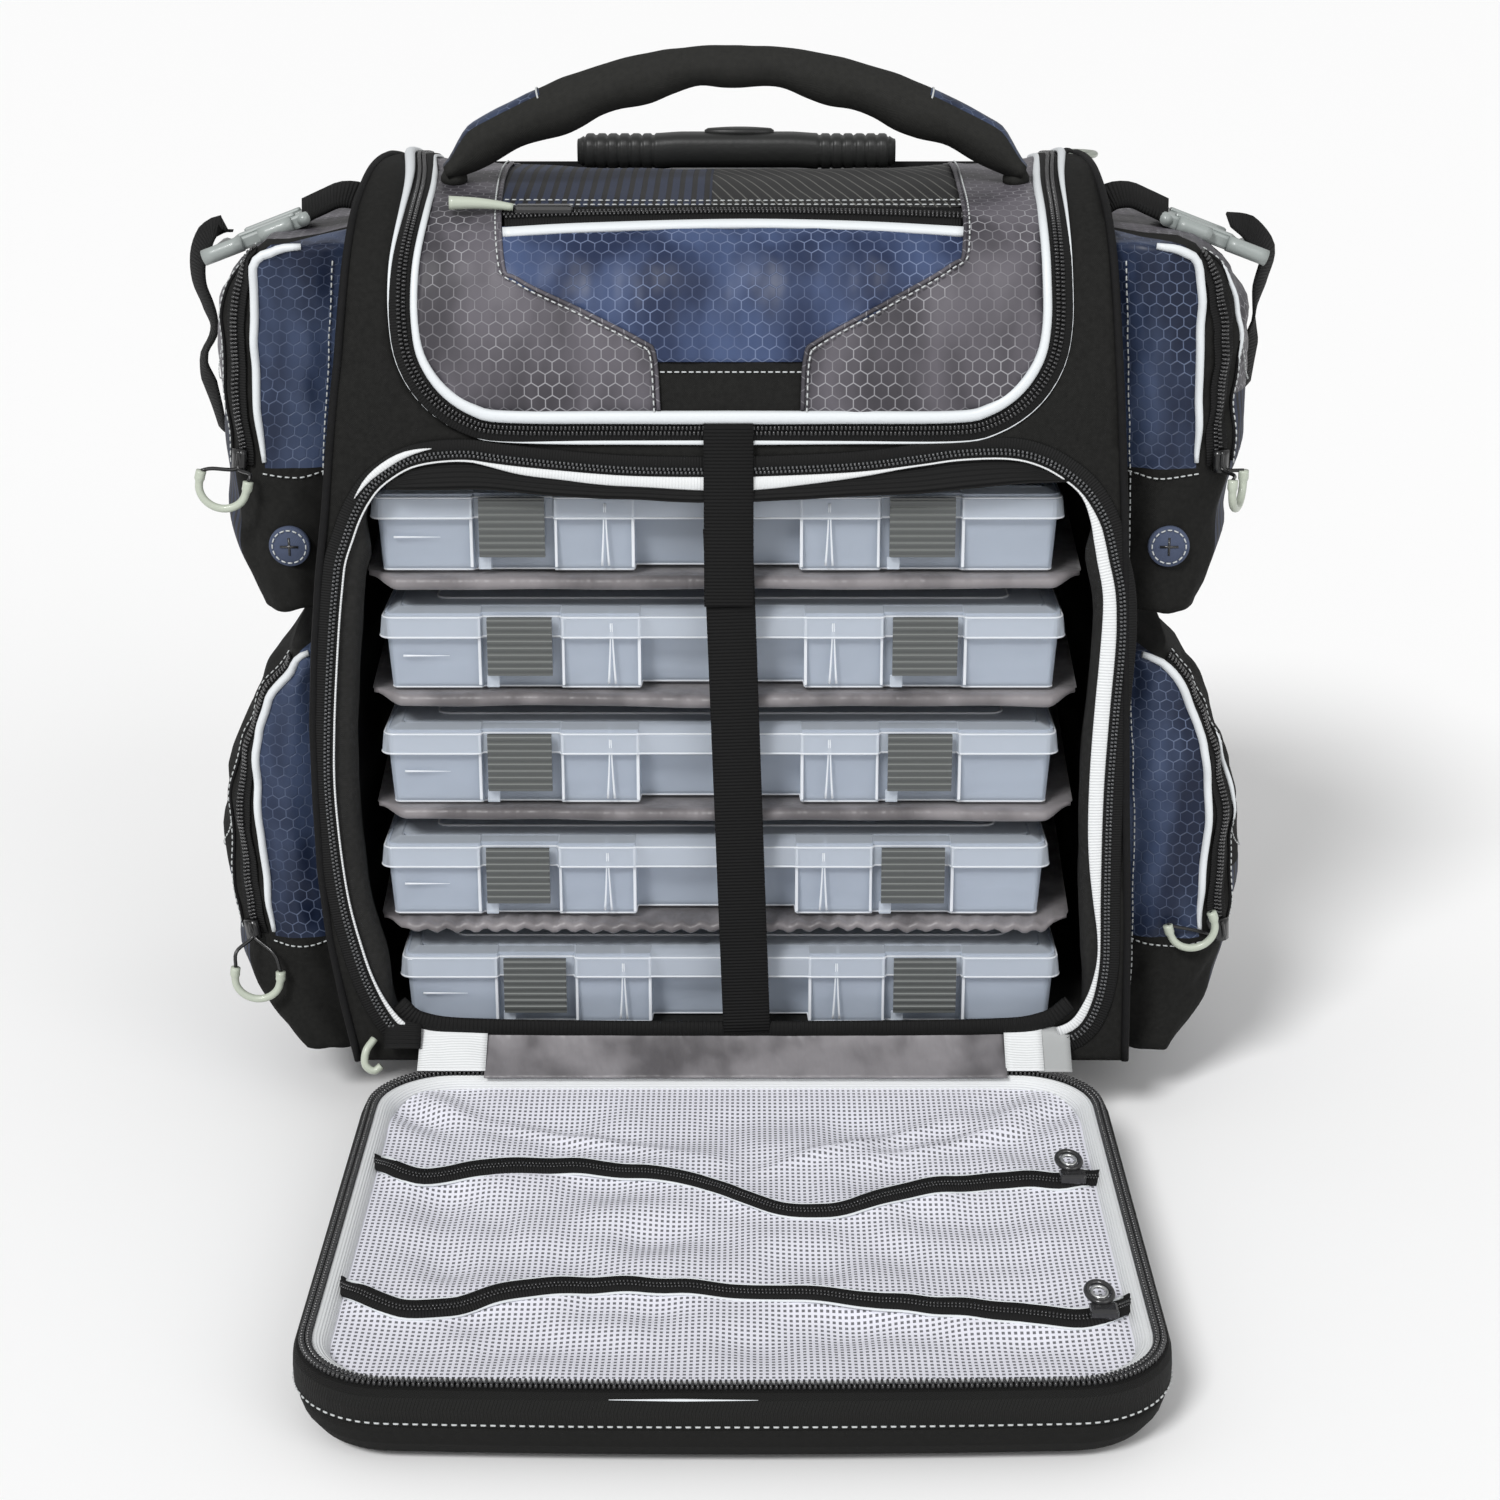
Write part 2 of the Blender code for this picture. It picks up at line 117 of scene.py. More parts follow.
def rounded(low, high, radius, steps=6):
    """A rectangle with round corners, as points in order."""
    centres = ((high[0] - radius, high[1] - radius, 0), (low[0] + radius, high[1] - radius, 90),
               (low[0] + radius, low[1] + radius, 180), (high[0] - radius, low[1] + radius, 270))
    return [(u + radius * math.cos(math.radians(start + 90 * k / steps)),
             v + radius * math.sin(math.radians(start + 90 * k / steps)))
            for u, v, start in centres for k in range(steps + 1)]


def curve(points, step=0.004, per=8):
    """A smooth line through points, with even steps."""
    return resample(smooth(points, per), step)


def share(path):
    """How far along a path each of its points lies, from 0 to 1."""
    run = run_of(path)
    return run / run[-1]


def turns(count):
    """Even angles round a full circle."""
    return np.linspace(0, 2 * math.pi, count, endpoint=False)


def blunt(value, power):
    """A sine or cosine bent so that a circle becomes a rounded box."""
    return math.copysign(abs(value) ** power, value)


# ---------------------------------------------------------------- meshes
def link(made):
    """Adds an object to the scene."""
    bpy.context.scene.collection.objects.link(made)
    return made


def place(name, verts, faces, finish, body, uvs=None, slots=None, flat=False):
    """Adds a mesh that rides on a body. finish is one material or a list, which slots picks from."""
    mesh = bpy.data.meshes.new(name)
    mesh.from_pydata([tuple(v) for v in verts], [], [tuple(int(k) for k in f) for f in faces])
    finishes = finish if isinstance(finish, (list, tuple)) else [finish]
    for made in finishes:
        mesh.materials.append(made)
    if slots is not None:
        mesh.polygons.foreach_set("material_index", np.array(slots, np.int32))
    if uvs is not None:
        layer = mesh.uv_layers.new(name="UVMap")
        corner = np.empty(len(mesh.loops), np.int32)
        mesh.loops.foreach_get("vertex_index", corner)
        layer.data.foreach_set("uv", np.array(uvs, np.float32)[corner].ravel())
    mesh.polygons.foreach_set("use_smooth", np.full(len(mesh.polygons), not flat))
    mesh.update()
    made = link(bpy.data.objects.new(name, mesh))
    if body:
        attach(made, body)
    return made


def thicken(made, thickness):
    """Gives a sheet thickness, on the side away from its normals."""
    modifier = made.modifiers.new("Thickness", "SOLIDIFY")
    modifier.thickness, modifier.offset = thickness, -1.0
    return made


def soften(made, width):
    """Bevels a solid's sharp edges."""
    modifier = made.modifiers.new("Edges", "BEVEL")
    modifier.width, modifier.segments, modifier.limit_method = width, 2, "ANGLE"
    return made


def inside(points, rings):
    """Even-odd test of points against closed rings."""
    hit = np.zeros(len(points), bool)
    x, y = points[:, 0], points[:, 1]
    for ring in rings:
        for (ax, ay), (bx, by) in zip(ring, np.roll(ring, -1, axis=0)):
            if ay != by:
                cross = (ay > y) != (by > y)
                hit ^= cross & (x < (bx - ax) * (y - ay) / (by - ay) + ax)
    return hit


def panel(name, outline, onto, finish, body, step, thick, holes=(), flip=False):
    """A sheet cut to a flat outline with holes; onto turns its flat points into places."""
    rings = [resample(ring, step, True) for ring in (outline, *holes)]
    low, high = rings[0].min(0), rings[0].max(0)
    across = np.arange(low[0] + step / 2, high[0], step)
    along = np.arange(low[1] + step / 2, high[1], step)
    grid = np.stack(np.meshgrid(across, along), -1).reshape(-1, 2)
    grid = grid[inside(grid, rings)]
    edge = np.vstack(rings)
    tree = kdtree.KDTree(len(edge))
    for k, point in enumerate(edge):
        tree.insert((*point, 0), k)
    tree.balance()
    grid = grid[[tree.find((*point, 0))[2] > 0.5 * step for point in grid]]
    links, start = [], 0
    for ring in rings:
        count = len(ring)
        links += [(start + k, start + (k + 1) % count) for k in range(count)]
        start += count
    made = delaunay_2d_cdt([Vector(p) for p in np.vstack([edge, grid])], links, [], 0, 1e-7)
    flat = np.array([tuple(v) for v in made[0]])
    faces = np.array(made[2])
    faces = faces[inside(flat[faces].mean(1), rings)]
    if flip:
        faces = faces[:, ::-1]
    obj = place(name, onto(flat[:, 0], flat[:, 1]), faces, finish, body, flat)
    if thick:
        thicken(obj, thick)
    return obj


def skin(name, rows, finish, body, closed=False, capped=False, slots=None, thick=0.0,
         flat=False, flip=False):
    """A grid of rows of points, UVs in metres. closed joins each row's ends; capped fills the first
    and last rows, or only the last one."""
    rows = np.array(rows, float)
    count, width = rows.shape[:2]
    verts = rows.reshape(-1, 3)
    faces, picks = [], []
    span = width if closed else width - 1
    for i in range(count - 1):
        for j in range(span):
            k = (j + 1) % width
            face = (i * width + j, i * width + k, (i + 1) * width + k, (i + 1) * width + j)
            faces.append(face[::-1] if flip else face)
            picks.append(slots(i, j) if slots else 0)
    if capped:
        first, last = tuple(range(width)), tuple((count - 1) * width + k for k in range(width))
        faces.append(last[::-1] if flip else last)
        picks.append(picks[-1])
        if capped != "last":
            faces.append(first if flip else first[::-1])
            picks.append(picks[0])
    across, down = np.zeros((2, count, width))
    across[:, 1:] = np.cumsum(np.linalg.norm(np.diff(rows, axis=1), axis=2), axis=1)
    step = np.linalg.norm(np.diff(rows, axis=0), axis=2)
    down[1:] = np.cumsum(np.broadcast_to(step.mean(1, keepdims=True), step.shape), axis=0)
    uvs = np.stack([across, down], -1).reshape(-1, 2)
    obj = place(name, verts, faces, finish, body, uvs, picks if slots else None, flat)
    if thick:
        thicken(obj, thick)
    return obj


def blow_up(made, pinned, pressure=3.0, limit=0.0035, steps=14):
    """Let a closed soft piece swell as cloth, held at its pinned points, and keep that shape."""
    rest = np.array([v.co[:] for v in made.data.vertices])
    held = made.vertex_groups.new(name="held")
    held.add([int(k) for k in np.nonzero(pinned(rest))[0]], 1.0, "REPLACE")
    cloth = made.modifiers.new("cloth", "CLOTH")
    cloth.settings.quality = 6
    cloth.settings.mass = 0.25
    cloth.settings.tension_stiffness = cloth.settings.compression_stiffness = 30
    cloth.settings.shear_stiffness = 15
    cloth.settings.use_pressure = True
    cloth.settings.uniform_pressure_force = pressure
    cloth.settings.vertex_group_mass = "held"
    cloth.settings.effector_weights.gravity = 0.0
    cloth.point_cache.frame_start, cloth.point_cache.frame_end = 1, steps
    scene = bpy.context.scene
    for k in range(1, steps + 1):
        scene.frame_set(k)
    shape = made.evaluated_get(bpy.context.evaluated_depsgraph_get()).to_mesh()
    swell = np.array([v.co[:] for v in shape.vertices]) - rest
    made.modifiers.remove(cloth)
    made.vertex_groups.clear()
    scene.frame_set(1)
    size = np.linalg.norm(swell, axis=1, keepdims=True)
    swell = swell * np.minimum(1.0, limit / np.maximum(size, 1e-9))
    made.data.vertices.foreach_set("co", (rest + swell).ravel())
    made.data.update()
    return made


def normals_of(rows, flip=False):
    """Unit normals of a grid of points."""
    rows = np.array(rows, float)
    made = unit(np.cross(np.gradient(rows, axis=1), np.gradient(rows, axis=0)))
    return -made if flip else made


def frames(path, closed=False):
    """(points, tangents, sideways, normals) of a path whose columns 3 to 5, if any, are normals."""
    points = path[:, :3]
    if closed:
        tangents = unit(np.roll(points, -1, 0) - np.roll(points, 1, 0))
    else:
        tangents = unit(np.gradient(points, axis=0))
    if path.shape[1] >= 6:
        normals = path[:, 3:6]
    else:
        normals = np.zeros_like(points)
        hint = np.array((0, 0, 1.0)) if abs(tangents[0][2]) < 0.8 else np.array((0, -1.0, 0))
        for k, tangent in enumerate(tangents):
            hint = unit(hint - tangent * hint.dot(tangent))
            normals[k] = hint
    sideways = unit(np.cross(tangents, normals))
    return points, tangents, sideways, unit(np.cross(sideways, tangents))


def sweep(name, lines, finish, body, closed):
    """A solid strand from the lines that run along it."""
    rows = np.array(lines).transpose(1, 0, 2)
    if closed:
        rows = np.concatenate([rows, rows[:1]])
    return skin(name, rows, finish, body, closed=True, capped=not closed)


def tube(name, path, radius, finish, body, sides=10, closed=False, squeeze=(1.0, 1.0)):
    """A cord along a path; radius is one number or one for each point."""
    path = np.array(path, float)
    points, _, sideways, normals = frames(path, closed)
    radius = np.broadcast_to(np.array(radius, float), (len(points),))
    rows = [points + (sideways * math.cos(turn) * squeeze[0] + normals * math.sin(turn) * squeeze[1])
            * radius[:, None] for turn in turns(sides)]
    return sweep(name, rows, finish, body, closed)


def ribbon(name, path, width, thick, finish, body, closed=False, lift=0.0, shift=0.0):
    """A flat strip along a path with normals; shift moves it sideways."""
    path = np.array(path, float)
    points, _, sideways, normals = frames(path, closed)
    width = np.broadcast_to(np.array(width, float), (len(points),))[:, None]
    soft = np.minimum(thick * 0.5, width * 0.2)
    rows = []
    for across, up in ((-0.5, 0.0), (-0.5, 0.6), (-0.5, 1.0), (0.0, 1.08), (0.5, 1.0), (0.5, 0.6),
                       (0.5, 0.0)):
        inset = soft if up >= 1.0 and across else 0.0
        rows.append(points + sideways * (across * (width - 2 * inset) + shift)
                    + normals * (lift + thick * up))
    return sweep(name, rows, finish, body, closed)


def beads(name, path, pitch, size, finish, body, closed=False, lift=0.0, shift=0.0, start=0.0):
    """Small tapered blocks, such as zip teeth or stitches, of size (along, across, high)."""
    taper = 0.7
    points, tangents, sideways, normals = frames(resample(path, pitch, closed, start), closed)
    along, across, high = (value / 2 for value in size)
    corners = [(-1, -1, -1, 1), (1, -1, -1, 1), (1, 1, -1, 1), (-1, 1, -1, 1),
               (-1, -1, 1, taper), (1, -1, 1, taper), (1, 1, 1, taper), (-1, 1, 1, taper)]
    verts = np.empty((len(points), 8, 3))
    for k, (a, b, c, shrink) in enumerate(corners):
        verts[:, k] = (points + tangents * (a * along * shrink) + sideways * (b * across * shrink + shift)
                       + normals * (lift + high + c * high))
    base = np.array([(0, 3, 2, 1), (4, 5, 6, 7), (0, 1, 5, 4), (1, 2, 6, 5), (2, 3, 7, 6), (3, 0, 4, 7)])
    faces = (base[None] + 8 * np.arange(len(points))[:, None, None]).reshape(-1, 4)
    place(name, verts.reshape(-1, 3), faces, finish, body)


def stitches(name, path, body, closed=False, pitch=0.0037, lift=0.0001, shift=0.0):
    """A row of white stitches."""
    beads(name, path, pitch, (0.0026, 0.0008, 0.0005), THREAD, body, closed, lift, shift)


def zipper(name, path, body, width):
    """A zip: a woven tape and interlocking coils of teeth along its middle."""
    pitch = 0.0021
    ribbon(name + "_tape", resample(path, 0.006), width, 0.0009, TAPE, body)
    for k, side in enumerate((-1, 1)):
        beads(f"{name}_teeth_{'ab'[k]}", path, pitch, (0.0013, 0.0026, 0.0014), TEETH, body,
              lift=0.0009, shift=side * 0.0013, start=k * pitch / 2)


def solid(name, low, high, finish, body, width=0.0008):
    """A block between two corners with softened edges."""
    (x0, y0, z0), (x1, y1, z1) = low, high
    rows = [[(x0, y0, z), (x1, y0, z), (x1, y1, z), (x0, y1, z)] for z in (z0, z1)]
    made = skin(name, rows, finish, body, closed=True, capped=True, flat=True)
    return soften(made, width) if width else made


def extrude_x(name, outline, x0, x1, finish, body, slots):
    """A solid with one (Y, Z) outline all along X."""
    rows = [[(x, y, z) for y, z in outline] for x in (x0, x1)]
    made = skin(name, rows, finish, body, closed=True, capped=True, flat=True, slots=slots)
    work = bmesh.new()
    work.from_mesh(made.data)
    bmesh.ops.recalc_face_normals(work, faces=work.faces)
    work.to_mesh(made.data)
    work.free()
    return made


# ---------------------------------------------------------------- materials
class Paint:
    """A Principled material and short ways to add nodes to it."""

    def __init__(self, name, colour, rough, metal=0.0, sheen=0.0, coat=0.0, shine=0.5):
        self.made = bpy.data.materials.new(name)
        self.made.use_nodes = True
        self.tree = self.made.node_tree
        self.shader = self.tree.nodes["Principled BSDF"]
        for socket, value in (("Base Color", (*colour, 1.0)), ("Roughness", rough),
                              ("Metallic", metal), ("Sheen Weight", sheen), ("Coat Weight", coat),
                              ("Specular IOR Level", shine)):
            self.shader.inputs[socket].default_value = value

    def add(self, kind, **settings):
        node = self.tree.nodes.new(kind)
        for key, value in settings.items():
            setattr(node, key, value)
        return node

    def feed(self, socket, value):
        if isinstance(value, bpy.types.NodeSocket):
            self.tree.links.new(value, socket)
        else:
            socket.default_value = value

    def math(self, operation, *values):
        node = self.add("ShaderNodeMath", operation=operation)
        for socket, value in zip(node.inputs, values):
            self.feed(socket, value)
        return node.outputs[0]

    def times(self, *values):
        return self.math("MULTIPLY", *values)

    def plus(self, *values):
        return self.math("ADD", *values)

    def part_of(self, value, period):
        """A value's remainder after whole periods."""
        return self.math("FLOORED_MODULO", value, period)

    def ramp(self, value, low, high, start=0.0, end=1.0):
        node = self.add("ShaderNodeMapRange", interpolation_type="SMOOTHSTEP")
        for socket, given in zip(node.inputs, (value, low, high, start, end)):
            self.feed(socket, given)
        return node.outputs[0]

    def mix(self, factor, first, second):
        node = self.add("ShaderNodeMix", data_type="RGBA")
        self.feed(node.inputs[0], factor)
        for socket, value in ((node.inputs[6], first), (node.inputs[7], second)):
            self.feed(socket, (*value, 1.0) if isinstance(value, tuple) else value)
        return node.outputs[2]

    def uv(self, scale=1.0):
        """The flat coordinates, in metres times scale, as two values."""
        split = self.add("ShaderNodeSeparateXYZ")
        self.feed(split.inputs[0], self.add("ShaderNodeTexCoord").outputs["UV"])
        return [self.times(split.outputs[k], scale) for k in (0, 1)]

    def cloud(self, scale, detail=2.0, stretch=(1.0, 1.0, 1.0)):
        """Noise over the object, scale in cells per metre."""
        mapping = self.add("ShaderNodeMapping")
        self.feed(mapping.inputs[0], self.add("ShaderNodeTexCoord").outputs["Object"])
        mapping.inputs["Scale"].default_value = stretch
        node = self.add("ShaderNodeTexNoise")
        self.feed(node.inputs["Vector"], mapping.outputs[0])
        node.inputs["Scale"].default_value = scale
        node.inputs["Detail"].default_value = detail
        return node.outputs[0]

    def colour(self, value):
        self.feed(self.shader.inputs["Base Color"], value)
        return self

    def bump(self, height, strength=0.5, distance=0.001):
        node = self.add("ShaderNodeBump")
        node.inputs["Strength"].default_value = strength
        node.inputs["Distance"].default_value = distance
        self.feed(node.inputs["Height"], height)
        self.feed(self.shader.inputs["Normal"], node.outputs[0])
        return self

    def threads(self, pitch_u, pitch_v):
        """Height of a plain weave, or of ribs where one pitch is 0."""
        u, v = self.uv()
        parts = [self.math("SINE", self.times(value, 2 * math.pi / pitch))
                 for value, pitch in ((u, pitch_u), (v, pitch_v)) if pitch]
        return parts[0] if len(parts) == 1 else self.times(*parts)


def hexagons(paint, size, line):
    """0 inside the cells of a honeycomb, 1 on its lines; size is a cell across its flats."""
    u, v = paint.uv(1.0 / size)
    root = 3 ** 0.5
    cells = []
    for du, dv in ((0.0, 0.0), (0.5, root / 2)):
        x = paint.math("SUBTRACT", paint.part_of(paint.plus(u, du), 1.0), 0.5)
        y = paint.math("SUBTRACT", paint.part_of(paint.plus(v, dv), root), root / 2)
        reach = paint.plus(paint.times(x, x), paint.times(y, y))
        cells.append((paint.math("ABSOLUTE", x), paint.math("ABSOLUTE", y), reach))
    near = paint.math("LESS_THAN", cells[0][2], cells[1][2])
    gx, gy = (paint.plus(paint.times(near, cells[0][k]),
                         paint.times(paint.math("SUBTRACT", 1.0, near), cells[1][k]))
              for k in (0, 1))
    edge = paint.math("MAXIMUM", gx, paint.plus(paint.times(gx, 0.5), paint.times(gy, root / 2)))
    return paint.ramp(edge, 0.5 - line, 0.5 - line * 0.35)


def woven(name, colour, mottle, rough=0.85):
    paint = Paint(name, colour, rough, shine=0.12)
    # mottle is a lighter colour mixed in by fine noise.
    paint.colour(paint.mix(paint.cloud(380, 3.0), colour, mottle))
    height = paint.plus(paint.times(paint.threads(0.0011, 0.0011), 0.25), paint.cloud(45, 2.0))
    return paint.bump(height, 0.35, 0.0012).made


def ripstop(name, colour, light, line, rough):
    paint = Paint(name, colour, rough, shine=0.25)
    lines = hexagons(paint, 0.007, 0.06)
    # Painted light: shine mixes in the lighter colour in long soft streaks like lit folds, and glint
    # brightens patches of the hexagon lines as painted glints.
    shine = paint.ramp(paint.cloud(24, 3.0, (1.0, 1.0, 0.35)), 0.36, 0.64)
    cloth = paint.mix(shine, colour, light)
    glint = paint.ramp(paint.cloud(42, 2.0, (1.0, 1.0, 0.5)), 0.42, 0.66)
    seen = paint.times(lines, paint.plus(paint.times(glint, 0.6), 0.35))
    paint.colour(paint.mix(seen, cloth, line))
    height = paint.plus(paint.times(lines, 0.35), paint.times(paint.cloud(34, 2.0, (1.0, 1.0, 0.45)), 5.0))
    return paint.bump(height, 0.5, 0.0012).made


def ribbed(name, colour, pitch_u, pitch_v, rough=0.8, strength=0.5):
    paint = Paint(name, colour, rough, shine=0.2)
    return paint.bump(paint.threads(pitch_u, pitch_v), strength, 0.0004).made


def plain(name, colour, rough, metal=0.0, coat=0.0, grain=0.0):
    paint = Paint(name, colour, rough, metal, coat=coat)
    if grain:
        paint.bump(paint.cloud(grain, 2.0), 0.25, 0.0005)
    return paint.made


def satin(name, dark, light):
    paint = Paint(name, dark, 0.42, sheen=0.2)
    # The lighter colour is painted sheen, mixed in along stretched noise like lit folds.
    paint.colour(paint.mix(paint.ramp(paint.cloud(30, 2.0, (1.0, 1.0, 0.3)), 0.35, 0.65), dark, light))
    return paint.bump(paint.cloud(60, 2.0, (1.6, 1.0, 0.3)), 0.5, 0.004).made


def clear_plastic(name, colour, thin, thick, rough):
    """Translucent moulded plastic: denser where it is seen edge on."""
    paint = Paint(name, colour, rough, coat=0.2)
    facing = paint.add("ShaderNodeLayerWeight")
    facing.inputs[0].default_value = 0.35
    paint.feed(paint.shader.inputs["Alpha"], paint.ramp(facing.outputs["Facing"], 0.05, 0.9, thin, thick))
    return paint.made


def open_mesh(name, colour, hole, pitch, cut):
    """A net of square holes: cut is the hole's share of the pitch each way, hole its opacity."""
    paint = Paint(name, colour, 0.4)
    sides = []
    for value, size, share in zip(paint.uv(), pitch, cut):
        turns = paint.part_of(paint.times(value, 1.0 / size), 1.0)
        off = paint.math("ABSOLUTE", paint.math("SUBTRACT", turns, 0.5))
        sides.append(paint.ramp(off, share / 2 - 0.06, share / 2 + 0.06, 1.0, 0.0))
    gap = paint.times(*sides)
    paint.feed(paint.shader.inputs["Alpha"], paint.ramp(gap, 0.0, 1.0, 1.0, hole))
    return paint.made


def stripes(name, colour, line, wide, slant=0.0):
    """Lines across a strip, along U; wide is a line's share of the pitch."""
    pitch = 0.0066
    paint = Paint(name, colour, 0.7)
    u, v = paint.uv()
    at = paint.plus(u, paint.times(v, slant))
    off = paint.part_of(paint.times(at, 1.0 / pitch), 1.0)
    line_at = paint.ramp(off, wide, wide + 0.08, 1.0, 0.0)
    paint.colour(paint.mix(line_at, colour, line))
    return paint.bump(line_at, 0.6, 0.001).made


BLACK = woven("black_woven", (0.0074, 0.0074, 0.007), (0.0185, 0.0185, 0.0174))
BLACK_SOFT = woven("black_lining", (0.006, 0.006, 0.0062), (0.011, 0.011, 0.0115), 0.7)
NAVY = ripstop("navy_ripstop", (0.013, 0.022, 0.058), (0.05, 0.076, 0.16), (0.15, 0.19, 0.31), 0.38)
NAVY_SIDE = ripstop("navy_side", (0.007, 0.012, 0.031), (0.048, 0.069, 0.13), (0.105, 0.135, 0.215), 0.4)
GREY = ripstop("grey_ripstop", (0.045, 0.042, 0.049), (0.11, 0.102, 0.118), (0.3, 0.295, 0.315), 0.46)
HANDLE = woven("handle_cloth", (0.0165, 0.0165, 0.0155), (0.028, 0.028, 0.026))
WEBBING = ribbed("webbing", (0.0065, 0.0065, 0.0065), 0.0, 0.0018, 0.8, 0.8)
BINDING = ribbed("binding", (0.007, 0.007, 0.007), 0.0, 0.0022, 0.75, 0.7)
PIPING = plain("white_piping", (0.66, 0.69, 0.71), 0.45, grain=500)
WHITE_TAPE = ribbed("white_tape", (0.72, 0.735, 0.74), 0.0, 0.0016, 0.5, 0.4)
TAPE = ribbed("zip_tape", (0.0065, 0.0065, 0.0065), 0.0, 0.0014, 0.7, 0.5)
TEETH = plain("zip_teeth", (0.022, 0.022, 0.023), 0.26, coat=0.3)
# A lighter copy of the black zip teeth: a painted highlight, used on the mouth's zip.
TEETH_PAINTED_HIGHLIGHT = plain("zip_teeth_painted_highlight", (0.06, 0.062, 0.065), 0.26, coat=0.3)
SLIDER = plain("slider_black", (0.009, 0.009, 0.0095), 0.3, coat=0.2)
BAY_CLOTH = woven("bay_cloth", (0.011, 0.011, 0.0105), (0.03, 0.03, 0.029), 0.65)
THREAD = plain("white_thread", (0.5, 0.52, 0.52), 0.6)
SATIN = satin("shelf_satin", (0.1, 0.092, 0.096), (0.22, 0.205, 0.212))
HINGE_SATIN = satin("hinge_satin", (0.085, 0.08, 0.085), (0.21, 0.2, 0.21))
TRAY = clear_plastic("clear_tray", (0.66, 0.74, 0.86), 0.36, 0.88, 0.16)
TRAY_LID = clear_plastic("clear_lid", (0.68, 0.74, 0.82), 0.4, 0.9, 0.14)
# A brighter copy of the clear plastic: painted highlight on the boxes' ribs and edge lines.
RIB_PAINTED_HIGHLIGHT = clear_plastic("clear_rib_painted_highlight", (0.92, 0.95, 0.99), 0.6, 0.95, 0.15)
LATCH = plain("latch_grey", (0.088, 0.094, 0.091), 0.4, coat=0.2)
# A lighter copy of the latch grey: painted highlight on the latch ribs' upward faces.
LATCH_PAINTED_HIGHLIGHT = plain("latch_painted_highlight", (0.2, 0.212, 0.205), 0.35, coat=0.2)
PULL = plain("pull_plastic", (0.44, 0.48, 0.4), 0.38, coat=0.2)
BUCKLE = plain("buckle_plastic", (0.3, 0.33, 0.32), 0.38, coat=0.2)
GRIP = plain("grip_rubber", (0.009, 0.0095, 0.009), 0.45, grain=300)
MESH = open_mesh("white_mesh", (0.78, 0.78, 0.85), 0.22, (0.0028, 0.0033), (0.52, 0.52))
DARK_MESH = stripes("rib_mesh", (0.007, 0.007, 0.008), (0.016, 0.024, 0.052), 0.55)
LINE_MESH = stripes("line_mesh", (0.007, 0.007, 0.007), (0.11, 0.11, 0.1), 0.1, 0.25)
NAVY_PLAIN = woven("patch_navy", (0.06, 0.076, 0.125), (0.078, 0.096, 0.15), 0.6)
FOAM = woven("door_shell_cloth", (0.0085, 0.0085, 0.008), (0.013, 0.013, 0.0125), 0.8)
FOAM_RIB = ribbed("door_gusset", (0.011, 0.011, 0.0105), 0.0016, 0.0, 0.75, 0.8)
SILVER_CLOTH = plain("silver_cloth", (0.36, 0.37, 0.37), 0.4)
DOOR_LINING = plain("door_lining", (0.11, 0.11, 0.12), 0.6)
METAL = plain("tube_metal", (0.3, 0.31, 0.32), 0.32, metal=1.0)
SILVER = plain("slider_silver", (0.55, 0.56, 0.56), 0.3, metal=0.9)
CHASSIS = plain("chassis_plastic", (0.016, 0.016, 0.017), 0.45, grain=400)
TYRE = plain("wheel_rubber", (0.02, 0.02, 0.021), 0.6)
HUB = plain("wheel_hub", (0.2, 0.21, 0.21), 0.4)
RING = plain("ring_metal", (0.42, 0.45, 0.4), 0.3, metal=0.6)

# ---------------------------------------------------------------- the bag's front and top
# (Y, Z) from the bottom of the front face over the top to the back.
PROFILE = smooth([(0.0, 0.3), (0.0, 0.387), (0.004, 0.42), (0.014, 0.455), (0.03, 0.477),
                  (0.055, 0.489), (0.1, 0.4955), (0.14, 0.4972), (0.185, 0.495),
                  (0.2315, 0.489), (0.246, 0.4865), (0.284, 0.4825)], 12)
PROFILE = np.vstack([[(0.0, 0.04), (0.0, 0.1), (0.0, 0.2)], PROFILE])
# Distance up the profile, which starts at its height above the floor, and its normals.
PROFILE_H = 0.04 + run_of(PROFILE)
PROFILE_N = unit(np.stack([-np.gradient(PROFILE[:, 1]), np.gradient(PROFILE[:, 0])], 1))
END_H = float(PROFILE_H[-1])
# How far the seams between the front and the sides stand from the middle, up the profile.
SEAM_H = (0.04, 0.075, 0.111, 0.148, 0.19, 0.229, 0.271, 0.311, 0.344, 0.376, 0.42, 0.455, 0.485,
          0.52, 0.56, 0.75)
SEAM_LEFT = (0.204, 0.2105, 0.216, 0.219, 0.2196, 0.2193, 0.2165, 0.2124, 0.2077, 0.204, 0.1985,
             0.1955, 0.1935, 0.1925, 0.1915, 0.1895)
SEAM_RIGHT = (0.2105, 0.2098, 0.2088, 0.207, 0.2048, 0.2031, 0.2012, 0.1996, 0.1978, 0.1955, 0.1925,
              0.1905, 0.1893, 0.1888, 0.1885, 0.1885)


def seam_x(h, side):
    """How far the front and top face reaches to a side at a distance h up the profile."""
    return np.interp(h, SEAM_H, SEAM_LEFT if side < 0 else SEAM_RIGHT)


def side_x(z, side):
    """How far the bag's side wall stands out at a height."""
    if side < 0:
        return np.interp(z, (0.04, 0.075, 0.11, 0.15, 0.23, 0.3, 0.36, 0.42, 0.48),
                         (0.208, 0.2145, 0.2195, 0.2225, 0.2225, 0.216, 0.209, 0.202, 0.1965))
    return np.interp(z, (0.04, 0.11, 0.18, 0.25, 0.3, 0.36, 0.42, 0.48),
                     (0.2125, 0.212, 0.2085, 0.2055, 0.203, 0.2, 0.196, 0.1925))


def crown(x, y):
    """How far the top stands above its profile: full at the shoulders, slack in the middle."""
    top = ease((y - 0.02) / 0.09)
    x = np.abs(x)
    return top * (0.0075 * np.exp(-((x - 0.183) / 0.017) ** 2)
                  - 0.0035 * np.clip(1 - (x / 0.14) ** 2, 0, 1))


